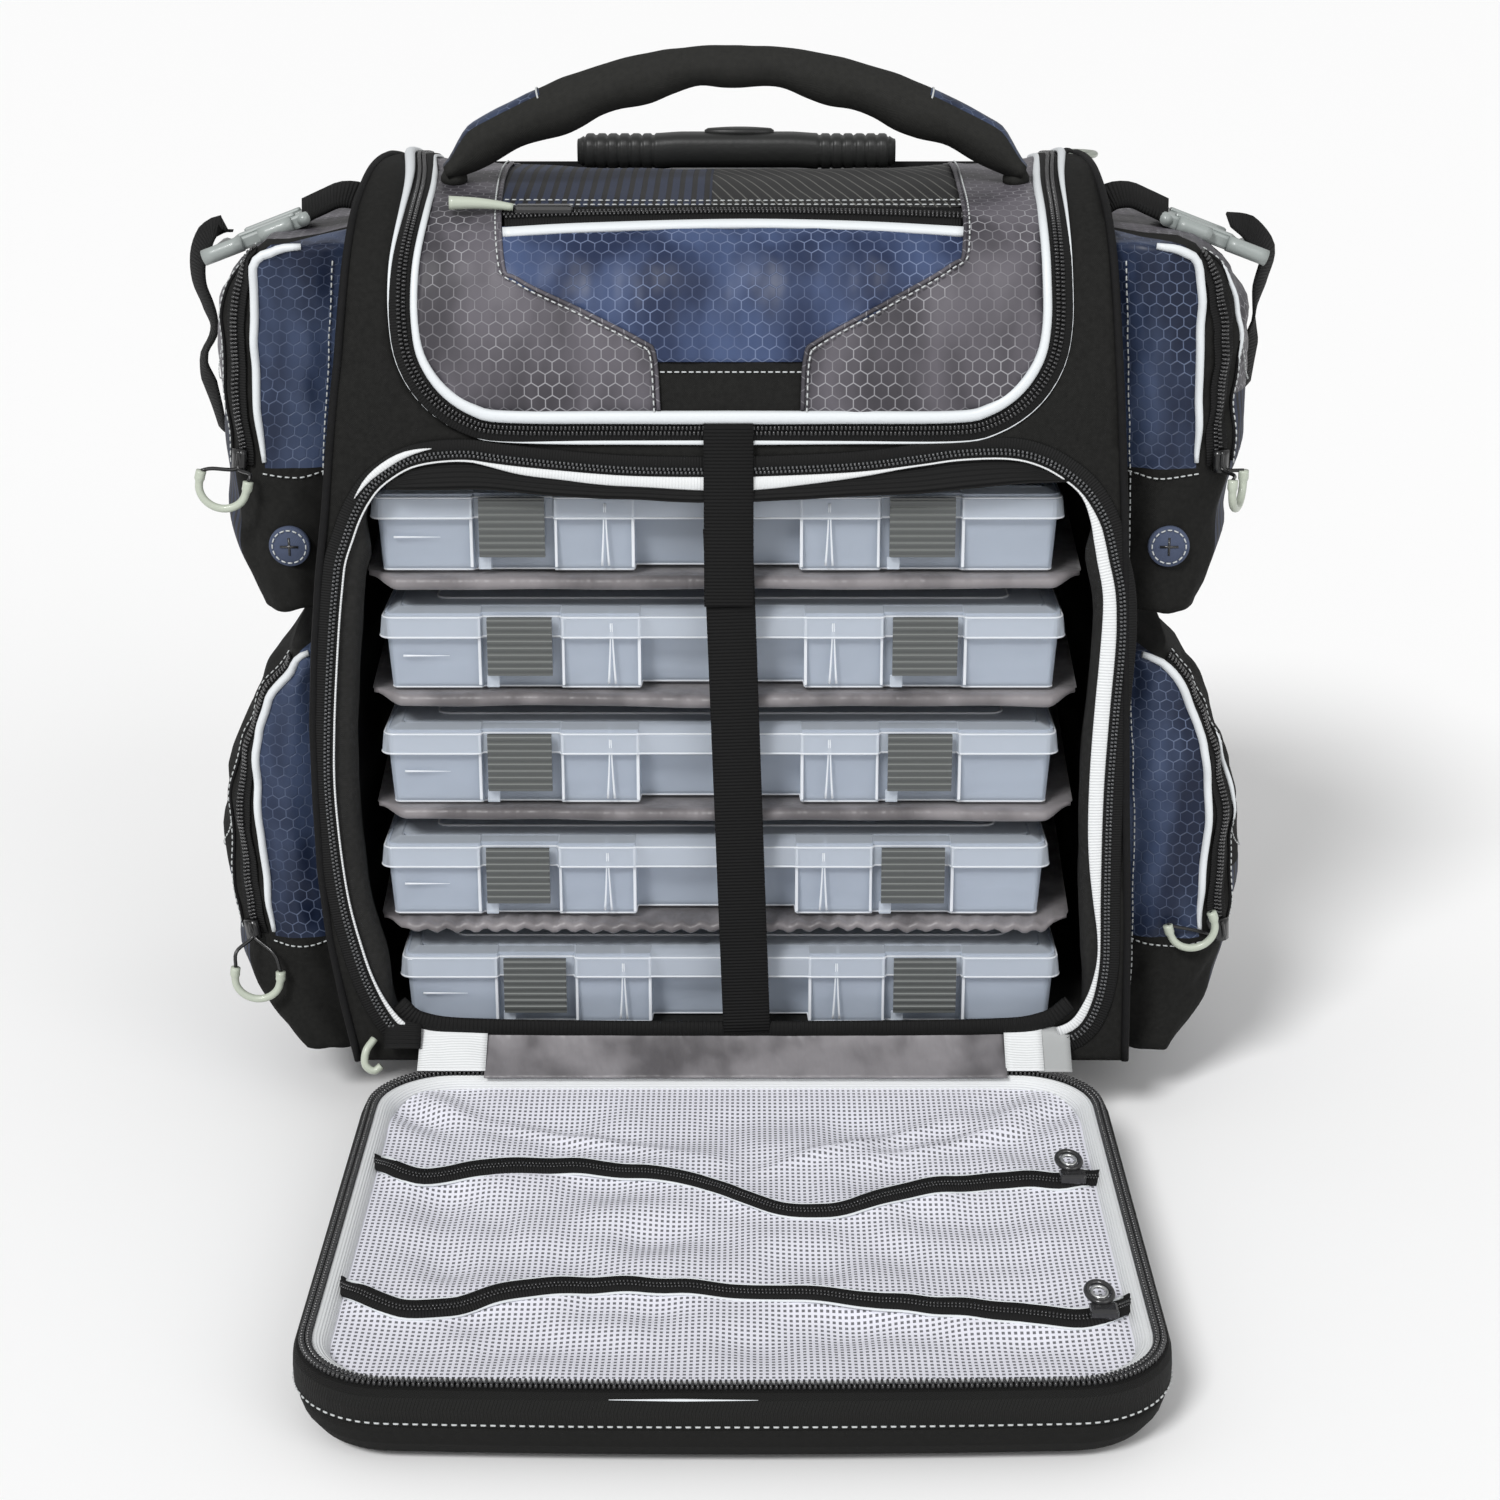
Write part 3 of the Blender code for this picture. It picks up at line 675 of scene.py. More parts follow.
def on_bag(x, h, lift=0.0):
    """Points and normals on the front and top of the bag, as six columns."""
    x, h = np.broadcast_arrays(np.array(x, float), np.array(h, float))
    y, z = (np.interp(h, PROFILE_H, PROFILE[:, k]) for k in (0, 1))
    ny, nz = (np.interp(h, PROFILE_H, PROFILE_N[:, k]) for k in (0, 1))
    size = np.hypot(ny, nz)
    ny, nz = ny / size, nz / size
    rise = crown(x, y)
    return np.stack([x, y + ny * lift, z + nz * lift + rise, np.zeros_like(x), ny, nz], -1)


def bag_path(points, lift):
    """A curve over the bag through (x, h) points."""
    flat = curve(points)
    return on_bag(flat[:, 0], flat[:, 1], lift)


def lid_edge(offset):
    """The lid's U-shaped edge, from the left hinge round the front to the right, moved outward."""
    top, low, corner = 0.7, 0.3935, 0.046
    left = [(-0.168, top), (-0.166, 0.64), (-0.1575, 0.56), (-0.156, 0.505), (-0.1595, 0.465)]
    right = [(0.156, 0.465), (0.1555, 0.505), (0.158, 0.56), (0.166, 0.64), (0.168, top)]
    arc_left = [(-0.1595 + corner * (1 - math.cos(a)), low + corner * (1 - math.sin(a)))
                for a in np.radians((0, 22.5, 45, 67.5, 90))]
    arc_right = [(0.156 - corner * (1 - math.cos(a)), low + corner * (1 - math.sin(a)))
                 for a in np.radians((90, 67.5, 45, 22.5, 0))]
    line = smooth(left + arc_left + [(-0.05, low - 0.0003), (0.05, low - 0.0003)] + arc_right + right, 8)
    tangents = unit(np.gradient(line, axis=0))
    outward = np.stack([tangents[:, 1], -tangents[:, 0]], 1)
    return line + outward * offset


# (X, distance up the profile) round the opening that the door closes.
MOUTH_LINE = [(-0.165, 0.0525), (-0.178, 0.057), (-0.1862, 0.0665), (-0.194, 0.083), (-0.2002, 0.1032),
              (-0.2072, 0.1381), (-0.2109, 0.1893), (-0.2097, 0.229), (-0.2053, 0.279), (-0.2016, 0.3086),
              (-0.1997, 0.3191), (-0.1957, 0.3302), (-0.1915, 0.341), (-0.1856, 0.3515), (-0.1787, 0.3595),
              (-0.1668, 0.3675), (-0.1563, 0.3709), (-0.1437, 0.3724), (-0.1327, 0.3724), (-0.1235, 0.371),
              (-0.1078, 0.369), (-0.0877, 0.367), (-0.0675, 0.3652), (-0.0473, 0.3641), (-0.0163, 0.3637),
              (0.0126, 0.364), (0.06, 0.3662), (0.0921, 0.37), (0.1138, 0.373), (0.1386, 0.3735),
              (0.1545, 0.3698), (0.1674, 0.3626), (0.1777, 0.3535), (0.186, 0.34), (0.1895, 0.3292),
              (0.1919, 0.3191), (0.1946, 0.3086), (0.1963, 0.298), (0.1971, 0.282), (0.1968, 0.266),
              (0.1957, 0.2443), (0.1948, 0.2225), (0.1941, 0.2005), (0.194, 0.178), (0.1943, 0.1556),
              (0.1948, 0.133), (0.1955, 0.113), (0.1957, 0.0986), (0.1948, 0.087), (0.1926, 0.0753),
              (0.1881, 0.0636), (0.1819, 0.057), (0.173, 0.0535), (0.163, 0.0525), (0.1, 0.05),
              (-0.1, 0.05)]
MOUTH = resample(smooth(MOUTH_LINE, 6, closed=True), 0.004, True)


def bag_front(x, h):
    """The body skin, a little full beside the mouth and between seams."""
    made = on_bag(x, h)
    folds = ripple(np.stack([x, h], 1), (0.05, 0.09, 1), 3.0) * 0.0019
    return made[:, :3] + made[:, 3:] * folds[:, None]


def shell():
    """The body's front and top with their openings, its seams, sides, back and base."""
    levels = np.linspace(0.04, END_H, 90)
    outline = ([(float(seam_x(h, RIGHT)), h) for h in levels]
               + [(-float(seam_x(h, LEFT)), h) for h in levels[::-1]])
    lid_hole = lid_edge(0.012)
    lid_hole = np.vstack([lid_hole, [(0.1805, 0.7035), (-0.1805, 0.7035)]])
    near, far = (float(np.interp(y, PROFILE[:, 0][3:], PROFILE_H[3:])) for y in (0.2512, 0.2708))
    slot = rounded((-0.0825, near), (0.0825, far), 0.004, 4)
    front = panel("body_front", outline, bag_front, BLACK, "bag", 0.0065, 0.0014,
                  (MOUTH, lid_hole, slot))
    rim = resample(slot, 0.003, True)
    tube("trolley_collar", on_bag(rim[:, 0], rim[:, 1], 0.0004), 0.002, CHASSIS, "bag", 8, closed=True)
    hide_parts("front_panel", "top_collar")

    for side, word, _ in SIDES:
        path = on_bag(side * seam_x(levels, side), levels)
        tube(f"body_seam_{word}", path, 0.0022, BLACK_SOFT, "bag", 8)
        side_panel(side, word, levels)
    back_panel()


def side_panel(side, word, levels):
    """A side wall, pulled in to the seam along its front and top edge."""
    y, z = (np.interp(levels, PROFILE_H, PROFILE[:, k]) for k in (0, 1))
    edge = np.stack([y, z], 1)
    tree = kdtree.KDTree(len(edge))
    for k, point in enumerate(edge):
        tree.insert((*point, 0), k)
    tree.balance()
    outline = np.vstack([edge, [(0.284, 0.0825), (0.2182, 0.0825), (0.2182, 0.04)]])

    def onto(u, v):
        out = []
        for py, pz in zip(u, v):
            _, k, distance = tree.find((py, pz, 0))
            near = seam_x(levels[k], side)
            away = float(ease(distance / 0.022))
            wave = noise.noise(Vector((py / 0.05, pz / 0.07, side * 4.0))) * 0.0012
            x = near + (side_x(pz, side) - near) * away + wave * away
            rise = float(crown(near, edge[k][0])) * (1 - float(ease(distance / 0.03)))
            out.append((side * x, py, pz + rise))
        return np.array(out)

    made = panel(f"body_side_{word}", outline, onto, BLACK, "bag", 0.007, 0.0014,
                 flip=side == LEFT)
    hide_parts(f"side_wall_{word}")


def back_panel():
    """The quilted back and the plain base."""
    half = [(0.181, 0.04), (0.181, 0.0825), (0.212, 0.0825), (0.212, 0.44), (0.205, 0.47), (0.192, 0.486)]
    outline = half + [(-x, z) for x, z in reversed(half)]

    def onto(u, v):
        quilt = np.abs(np.sin(u / 0.05 * math.pi / 2)) * np.abs(np.sin(v / 0.085 * math.pi))
        edge = ease((0.2 - np.abs(u)) / 0.02) * ease((v - 0.06) / 0.03) * ease((0.46 - v) / 0.03)
        return np.stack([u, 0.2815 + 0.0045 * quilt ** 0.5 * edge, v], 1)

    made = panel("body_back", outline, onto, BLACK_SOFT, "bag", 0.007, 0.0014, flip=True)
    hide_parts("back_panel")
    base = skin("body_base", [[(-0.2, 0.002, 0.0412), (0.2, 0.002, 0.0412)],
                              [(-0.2, 0.217, 0.0412), (0.2, 0.217, 0.0412)]], BLACK, "bag")
    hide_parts("base_panel")


def zip_edge():
    """The part of the mouth's edge that the zip follows, from the lower left over the top."""
    start = int(np.argmin(np.hypot(MOUTH[:, 0] + 0.175, MOUTH[:, 1] - 0.056)))
    ring = np.roll(MOUTH, -start, axis=0)
    stop = int(np.argmin(np.hypot(ring[:, 0] - 0.175, ring[:, 1] - 0.057)))
    return ring[:stop + 1]


def mouth_zip(path):
    """The half of the door's zip that stays on the bag."""
    ribbon("mouth_zip_tape", path, 0.011, 0.0012, TAPE, "bag", lift=0.0002, shift=-0.004)
    # The teeth use the lighter copy of the tooth colour as a painted highlight.
    for k, side in enumerate((-1, 1)):
        beads(f"mouth_teeth_{'ab'[k]}", path, 0.0021, (0.0013, 0.0018, 0.0014), TEETH_PAINTED_HIGHLIGHT, "bag",
              lift=0.0014, shift=-0.0022 + side * 0.0009, start=k * 0.00105)


def tape_width(path, x, z):
    """How much of the white tape shows along the mouth: on its left, top and right edges."""
    left = np.interp(share(path), (0.0, 0.03, 0.1), (0.004, 0.0014, 0.001))
    top = np.interp(x, (-0.133, -0.1235, -0.1078, -0.0877, -0.0675, -0.0473, -0.0163, 0.0126, 0.06, 0.085),
                    (0.001, 0.0018, 0.0044, 0.0046, 0.0056, 0.0054, 0.007, 0.007, 0.003, 0.001))
    right = np.interp(z, (0.057, 0.0636, 0.0753, 0.087, 0.0986, 0.11, 0.1216, 0.133, 0.1443, 0.1556,
                          0.167, 0.178, 0.2225, 0.2767, 0.298, 0.3292, 0.3395, 0.352),
                      (0.0052, 0.0054, 0.0036, 0.0024, 0.0014, 0.0012, 0.0026, 0.004, 0.0055, 0.0066,
                       0.0073, 0.0076, 0.008, 0.0078, 0.0066, 0.0058, 0.005, 0.001))
    width = np.where(x < -0.133, left, np.where((x > 0.165) & (z < 0.365), right, top))
    return np.convolve(np.pad(width, 2, "edge"), np.ones(5) / 5, "valid")


def mouth_tapes(path, x, z):
    """White tape inside the zip, and slivers of it outside the two upper corners."""
    width = tape_width(path, x, z)
    points, _, sideways, normals = frames(path)
    moved = path.copy()
    moved[:, :3] = points + sideways * (0.001 + width[:, None] / 2) + normals * 0.0006
    ribbon("mouth_white_tape", moved, width, 0.0012, WHITE_TAPE, "bag")
    outer = path.copy()
    outer[:, :3] = points - sideways * 0.0058
    crescent = outer[(x < -0.15) & (z > 0.346)]
    ends = np.sin(np.linspace(0.0, math.pi, len(crescent)))
    ribbon("mouth_outer_tape", crescent, 0.0004 + 0.0034 * ends, 0.0012, WHITE_TAPE, "bag", lift=0.0012)
    corner = outer[(x > 0.15) & (z > 0.345)]
    tube("mouth_outer_line", corner, 0.0006, WHITE_TAPE, "bag", 6)


def bay_lining():
    """The lining that turns in behind the mouth and lines the bay of the boxes."""
    centre = np.array((0.0, 0.21))
    loops = []

    def add(loop, y, wave):
        loops.append(np.column_stack([loop[:, 0] + wave * 0.0012, np.full(len(loop), y), loop[:, 1]]))

    for shrink, y in ((0.0, 0.0012), (0.008, 0.0024), (0.013, 0.0065), (0.012, 0.015)):
        toward = unit(centre - MOUTH) * ease((MOUTH[:, 1:] - 0.05) / 0.05)
        toward = toward * (1 - 0.8 * ease((MOUTH[:, 1:] - 0.325) / 0.02))
        bend = MOUTH + toward * shrink
        add(bend, y, ripple(bend, 0.03, y * 300))
    wall = np.array([(np.clip(x * 1.12, -0.2045, 0.1965), z) for x, z in MOUTH])
    wall[:, 1] = np.clip(0.21 + (wall[:, 1] - 0.21) * 1.05, 0.0546, 0.37)
    for y in (0.03, 0.12, 0.244):
        add(wall, y, ripple(np.column_stack([wall, np.full(len(wall), y)]), 0.05, 5.0))
    skin("bay_lining", loops, BAY_CLOTH, "bag", closed=True, capped="last", flip=True)


def mouth_lip():
    """The bound edge under the mouth."""
    lip = curve([(-0.181, 0.0012, 0.073), (-0.168, 0.0008, 0.063), (-0.13, 0.0006, 0.0592),
                 (0.0, 0.0006, 0.058), (0.13, 0.0006, 0.0592), (0.165, 0.0008, 0.063),
                 (0.18, 0.0012, 0.073)])
    tube("mouth_lip", lip, 0.0052, BINDING, "bag", 12, squeeze=(0.5, 0.95))


def mouth_valance():
    """The flap that hangs from the mouth's top edge, and the cloth deck above the boxes."""
    x = np.linspace(-0.176, 0.168, 60)
    hem = np.interp(x, (-0.176, -0.127, -0.0675, -0.018, 0.0126, 0.05, 0.092, 0.117, 0.15, 0.168),
                    (0.356, 0.3562, 0.351, 0.3497, 0.35, 0.352, 0.3543, 0.3567, 0.36, 0.36))
    hem = hem + ripple(x, 0.03, 2.0) * 0.0008
    upper = MOUTH[MOUTH[:, 1] > 0.355]
    upper = upper[np.argsort(upper[:, 0])]
    top = np.interp(x, upper[:, 0], upper[:, 1]) + 0.001
    rows = [np.column_stack([x, 0.0026 - 0.0044 * t + x * 0, top + (hem - top) * t])
            for t in np.linspace(0, 1, 6)]
    valance = skin("mouth_valance", rows, BINDING, "bag", thick=0.0014)
    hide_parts("mid_deck")
    rows = [[(px, py, 0.373 + 0.0008 * math.sin(px * 60) * math.sin(py * 40))
             for px in np.linspace(-0.202, 0.195, 24)] for py in np.linspace(0.004, 0.244, 16)]
    skin("deck_lining", rows, SATIN, "bag", thick=0.0015)


def mouth_trim():
    """Everything round the door's opening."""
    x, z = zip_edge().T
    path = on_bag(x, z)
    mouth_zip(path)
    mouth_tapes(path, x, z)
    bay_lining()
    mouth_lip()
    mouth_valance()


shell()
mouth_trim()


# ---------------------------------------------------------------- shelves
BOX_OFFSETS = (-0.009, -0.0065, -0.008, -0.0105, -0.003)
BOX_TOP, BOX_PITCH, BOX_HEIGHT = 0.354, 0.0635, 0.045


def box_top(number):
    """The height of a box's upper face; box 1 is the highest."""
    return BOX_TOP - BOX_PITCH * (number - 1)


def shelves():
    """Satin shelves under boxes 1 to 4, each with a soft rolled edge; the last one is ruched."""
    x = np.linspace(-0.1895, 0.1785, 150)
    for number in range(1, 5):
        under = box_top(number) - BOX_HEIGHT - 0.0006
        ruched = number == 4
        seed = number * 7.3
        sag = ripple(x, 0.09, seed) * 0.0012
        if ruched:
            sag = sag + np.sin(x * 2 * math.pi / 0.0105) * 0.0011 + ripple(x, 0.008, 2) * 0.0009
        ends = ease((0.184 - np.abs(x + 0.0055)) / 0.016)
        radius = (0.0036 + ripple(x, 0.05, seed + 2) * 0.0006) * (0.35 + 0.65 * ends)
        radius = radius * (0.72 if ruched else 1.0)
        rows = [np.column_stack([x + (x + 0.0055) * y * 0.28, x * 0 + y, x * 0 + under - 0.001])
                for y in (0.243, 0.17, 0.1, 0.05, 0.025)]
        for turn in np.radians(np.arange(90, -181, -22.5)):
            y = 0.0112 + (1 - ends) * 0.01 - radius * np.cos(turn) * 1.15
            z = under - radius - (0.0016 if ruched else 0.0002) + sag * ends + radius * np.sin(turn)
            rows.append(np.column_stack([x, y, z]))
        made = skin(f"shelf_cloth_{number}", rows, SATIN, "bag", thick=0.0006, flip=True)
        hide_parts(f"shelf_{number}")


shelves()

# ---------------------------------------------------------------- utility boxes
def box_plan(middle, inset, notch, latch_notch, front=0.0125, half=0.176, rear=0.2395):
    """A box's outline seen from above, with a finger recess and latch bays in its front."""
    low_x, high_x = middle - half + inset, middle + half - inset
    front, rear = front + inset, rear - inset
    r = max(0.0065 - inset, 0.001)

    def corner(cx, cy, start):
        return [(cx + r * math.cos(a), cy + r * math.sin(a))
                for a in np.radians(start + 18.0 * np.arange(6))]

    points = corner(low_x + r, front + r, 180)
    for a, b, depth in ((-0.1255, -0.0835, latch_notch), (-0.043, 0.043, notch),
                        (0.0835, 0.1255, latch_notch)):
        points += [(middle + a, front), (middle + a + 0.0006, front + depth),
                   (middle + b - 0.0006, front + depth), (middle + b, front)]
    return (points + corner(high_x - r, front + r, 270) + corner(high_x - r, rear - r, 0)
            + corner(low_x + r, rear - r, 90))


def utility_box(number):
    """A clear box: tray, chamfered cover with a skirt, painted highlight lines along its edges, dividers
    and latches.
    """
    top, middle, box = box_top(number), BOX_OFFSETS[number - 1], f"box_{number}"
    bottom, rim, skirt = top - BOX_HEIGHT, top - 0.0034, top - 0.0145
    cover = dict(half=0.178, front=0.0105, rear=0.241, notch=0.0007, latch_notch=0.0028)

    def loop(inset, z, notch=0.011, latch_notch=0.0022, **size):
        return [(x, y, z) for x, y in box_plan(middle, inset, notch, latch_notch, **size)]

    tray = skin(box + "_tray_shell",
                [loop(inset, z) for inset, z in (
                    (0.006, bottom), (0.0034, bottom + 0.0012), (0.0004, rim), (0.0018, rim),
                    (0.0048, bottom + 0.0024), (0.007, bottom + 0.0018))],
                TRAY, box, closed=True, capped=True, flat=True)
    soften(tray, 0.0007)
    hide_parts(box + "_tray")
    lid = skin(box + "_cover",
               [loop(inset, z, **cover) for inset, z in (
                   (0.0016, skirt - 0.0015), (-0.0002, skirt - 0.0015), (0.0, skirt + 0.001),
                   (0.0008, top - 0.006), (0.0026, top - 0.0044), (0.0098, top - 0.001),
                   (0.0112, top - 0.0018))],
               TRAY_LID, box, closed=True, flat=True)
    deck = rounded((middle - 0.167, 0.0215), (middle + 0.167, 0.23), 0.004, 2)
    skin(box + "_cover_deck", [[(x, y, z) for x, y in deck] for z in (top - 0.001, top - 0.0022)],
         TRAY_LID, box, closed=True, capped=True, flat=True)
    soften(lid, 0.0006)
    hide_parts(box + "_lid")

    # A short tapering stroke of the bright plastic at the left end of the front wall: a painted highlight.
    tube(box + "_ledge_painted_highlight", [(middle - 0.166 + t * 0.024, 0.0125, bottom + 0.019)
                          for t in np.linspace(0, 1, 8)], np.linspace(0.0006, 0.0001, 8), RIB_PAINTED_HIGHLIGHT,
         box, 6)
    # The rib ring on the cover and the thin tubes round the cover's top, its skirt and the tray's foot are
    # in the bright copy of the plastic: painted highlight lines.
    ring = rounded((middle - 0.15, 0.034), (middle + 0.15, 0.226), 0.006, 3)
    tube(box + "_cover_rib", [(x, y, top - 0.0008, 0, 0, 1) for x, y in ring], 0.0007, RIB_PAINTED_HIGHLIGHT, box,
         6, closed=True)
    for tag, at in (("top", loop(0.0014, top - 0.0054, **cover)),
                    ("skirt", loop(0.0, skirt - 0.0012, **cover)),
                    ("foot", loop(0.0036, bottom + 0.001))):
        tube(f"{box}_edge_{tag}", resample(at, 0.002, True), 0.00055, RIB_PAINTED_HIGHLIGHT, box, 5, closed=True)

    for k, x in enumerate((-0.118, -0.0585, 0.0585, 0.118)):
        solid(f"{box}_divider_{k}", (middle + x - 0.0008, 0.0225, bottom + 0.003),
              (middle + x + 0.0008, 0.235, rim - 0.002), TRAY, box, 0.0)
    solid(box + "_long_divider", (middle - 0.168, 0.12, bottom + 0.003),
          (middle + 0.168, 0.1214, rim - 0.002), TRAY, box, 0.0)
    for side, word, short in SIDES:
        front_ribs(box, side, short, middle, bottom)
        latch(number, side, word, short, middle, top)


def front_ribs(box, side, short, middle, bottom):
    """The moulded ribs behind one half of a box's front wall, and two that lean together."""
    mark = 0.1195 if side == LEFT else 0.0905
    # The thin ribs and the two leaning ones use the bright copy of the plastic, a painted highlight.
    for k, (x, w, low, high, y) in enumerate(((0.0432, 0.0016, 0.003, 0.04, 0.012),
                                              (0.1262, 0.0016, 0.003, 0.04, 0.012),
                                              (0.0828, 0.0014, 0.003, 0.04, 0.012),
                                              (mark, 0.0065, 0.002, 0.0085, 0.0116))):
        px = middle + side * x
        solid(f"{box}_rib_{short}{k}", (px - w / 2, y, bottom + low),
              (px + w / 2, y + 0.0022, bottom + high), RIB_PAINTED_HIGHLIGHT if w < 0.003 else TRAY_LID, box, 0.0004)
    for k, spread in enumerate((-0.0014, 0.0014)):
        spine = [(middle + side * 0.0575 + spread * (1 - t) ** 1.5 + 0.0004 * (2 * k - 1),
                  0.0121 - 0.0014 * t, bottom + 0.004 + 0.033 * t) for t in np.linspace(0, 1, 10)]
        tube(f"{box}_spine_{short}{k}", spine, np.linspace(0.0006, 0.0003, 10), RIB_PAINTED_HIGHLIGHT, box, 6)


def latch(number, side, word, short, middle, top):
    """A grey latch plate with louvred ribs; each rib's small upward face is in a lighter copy of the grey,
    a painted highlight.
    """
    centre, hinge = middle + side * 0.105, top - 0.0045
    front, back, ribs = 0.0078, 0.01, 8
    outline = [(back, hinge), (front, hinge)]
    rib = 0.0295 / ribs
    for k in range(ribs):
        z = hinge - 0.001 - rib * k
        outline += [(front, z), (front - 0.0008, z - 0.0004), (front - 0.0007, z - 0.0013),
                    (front, z - rib * 0.8)]
    outline += [(front, hinge - 0.031), (back, hinge - 0.031)]
    made = extrude_x(f"box_{number}_latch_plate_{word}", outline, centre - 0.0168, centre + 0.0168,
                     [LATCH, LATCH_PAINTED_HIGHLIGHT], f"box_{number}_latch_{short}",
                     lambda _, j: int(j > 1 and (j - 2) % 4 == 0))
    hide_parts(f"box_{number}_latch_{word}")


for box_number in range(1, 6):
    utility_box(box_number)


# ---------------------------------------------------------------- centre strap
def strap(name, body, left_low, left_high, low, high, y, node):
    """A flat webbing strap in front of the boxes; left is its left edge, low and high its ends."""
    z = np.linspace(high, low, 40)
    left = np.interp(z, (low, high), (left_low, left_high))
    wave = ripple(z, 0.06, 1.0) * 0.0006
    path = np.column_stack([left + 0.0125, y + wave, z, z * 0, z * 0 - 1.0, z * 0])
    made = ribbon(name, path, 0.0252, 0.0014, WEBBING, body)
    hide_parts(node)


strap("strap_upper_webbing", "strap_top", -0.0155, -0.0155, 0.2955, 0.3905, -0.003, "strap_upper")
strap("strap_lower_webbing", "strap_bottom", -0.0064, -0.016, 0.057, 0.336, -0.0009, "strap_lower")


# ---------------------------------------------------------------- lid
# The inner edges of the lid's grey panels, as (X, distance up the profile), from the back.
GREY_LEFT = [(-0.123, 0.64), (-0.1215, 0.557), (-0.1165, 0.474), (-0.108, 0.461), (-0.077, 0.446),
             (-0.047, 0.431), (-0.04, 0.424), (-0.038, 0.397)]
GREY_RIGHT = [(0.118, 0.64), (0.1165, 0.557), (0.1155, 0.481), (0.108, 0.468), (0.075, 0.449),
              (0.042, 0.431), (0.0355, 0.423), (0.034, 0.397)]
PANEL_TOP, BAND_TOP, LID_BACK = 0.49, 0.4205, 0.702


def beside_lid(offset, lift, step=0.004):
    """A path over the bag along the lid's edge, moved outward and up."""
    edge = lid_edge(offset)
    return resample(on_bag(edge[:, 0], edge[:, 1], lift), step)


def lid_place(puff, seed, size=(0.035, 0.05, 1)):
    """Lays flat points on the lid's top, puffed out in folds."""
    def onto(x, h):
        made = on_bag(x, h, 0.0006)
        folds = ripple(np.stack([x, h], 1), size, seed)
        return made[:, :3] + made[:, 3:] * (puff * (0.6 + 0.9 * folds))[:, None]
    return onto


def lid_strip(low, high):
    """The outline of a panel between the two grey ones, tucked under them."""
    tuck = 0.004
    lines = smooth(GREY_LEFT, 6), smooth(GREY_RIGHT, 6)
    a, b = (line[(line[:, 1] < high) & (line[:, 1] > low)] for line in lines)
    ax, bx = ([np.interp(-h, -line[:, 1], line[:, 0]) for h in (high, low)] for line in lines)
    shape = np.vstack([[(ax[0], high)], a, [(ax[1], low)], [(bx[1], low)], b[::-1], [(bx[0], high)]])
    shape[:, 0] += np.where(shape[:, 0] < 0, -tuck, tuck)
    return shape


def lid_panels():
    """The lid's lining, and its grey, navy, black and rib-mesh panels."""
    edge = lid_edge(-0.0015)
    under = panel("lid_lining", np.vstack([edge, [(0.1685, 0.7025), (-0.1665, 0.7025)]]),
                  lambda x, h: on_bag(x, h, -0.0016)[:, :3], BLACK_SOFT, "lid", 0.008, 0.0012)
    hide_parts("lid_panel")
    bottom_left, bottom_right = (int(np.argmin(np.hypot(edge[:, 0] - x, edge[:, 1] - 0.392)))
                                 for x in (-0.038, 0.034))
    left = np.vstack([edge[:bottom_left + 1], smooth(GREY_LEFT[::-1], 6), [(-0.123, LID_BACK)]])
    right = np.vstack([edge[bottom_right:], [(0.118, LID_BACK)], smooth(GREY_RIGHT, 6)])
    strips = [[(low, 0.513), (high, 0.513), (high, LID_BACK), (low, LID_BACK)]
              for low, high in ((-0.1225, -0.012), (-0.012, 0.1175))]
    grey, mesh = lid_place(0.0024, 1.0, (0.018, 0.055, 1)), lid_place(0.0014, 6.0)
    for word, shape, onto, finish, step, thick, slot in (
            ("grey_left", left, grey, GREY, 0.0045, 0.0008, "navy_ripstop"),
            ("grey_right", right, grey, GREY, 0.0045, 0.0008, "navy_ripstop"),
            ("navy", lid_strip(BAND_TOP, PANEL_TOP + 0.002), lid_place(0.0019, 4.0, (0.018, 0.07, 1)),
             NAVY, 0.0045, 0.0006, "navy_ripstop"),
            ("band", lid_strip(0.3925, BAND_TOP + 0.001), lid_place(0.0005, 2.0), BLACK, 0.006,
             0.0006, "black_woven"),
            ("rib_mesh_left", strips[0], mesh, DARK_MESH, 0.006, 0.0006, "navy_ripstop"),
            ("rib_mesh_right", strips[1], mesh, LINE_MESH, 0.006, 0.0006, "navy_ripstop")):
        panel(f"lid_{word}", shape, onto, finish, "lid", step, thick)


def lid_seams():
    """The seams between the panels, and the lid pocket's piping, zip and stitching."""
    for word, points, shift in (("left", GREY_LEFT, 0.0022), ("right", GREY_RIGHT, -0.0022)):
        line = smooth(points, 6)
        path = on_bag(line[:, 0], line[:, 1], 0.0026)
        tube(f"lid_seam_{word}", path, 0.0011, GREY, "lid", 6)
        stitches(f"lid_stitch_{word}", resample(path, 0.003), "lid", lift=0.0009, shift=shift)
    path = bag_path([(-0.036, BAND_TOP - 0.005), (0.0325, BAND_TOP - 0.005)], 0.0014)
    stitches("lid_band_stitch", path, "lid")

    def arch(h, lift, rise=0.005):
        return bag_path([(-0.1165, h - rise), (-0.075, h - rise * 0.3), (0.0, h + rise * 0.35),
                         (0.06, h), (0.115, h - rise * 0.9)], lift)

    ribbon("lid_pocket_piping", arch(0.4925, 0.0012), 0.0062, 0.0026, PIPING, "lid")
    zipper("lid_pocket_zip", arch(0.505, 0.0012), "lid", 0.017)
    for k, h in enumerate((0.5155, 0.523)):
        stitches(f"lid_pocket_stitch_{k}", arch(h, 0.0022, 0.0022), "lid")


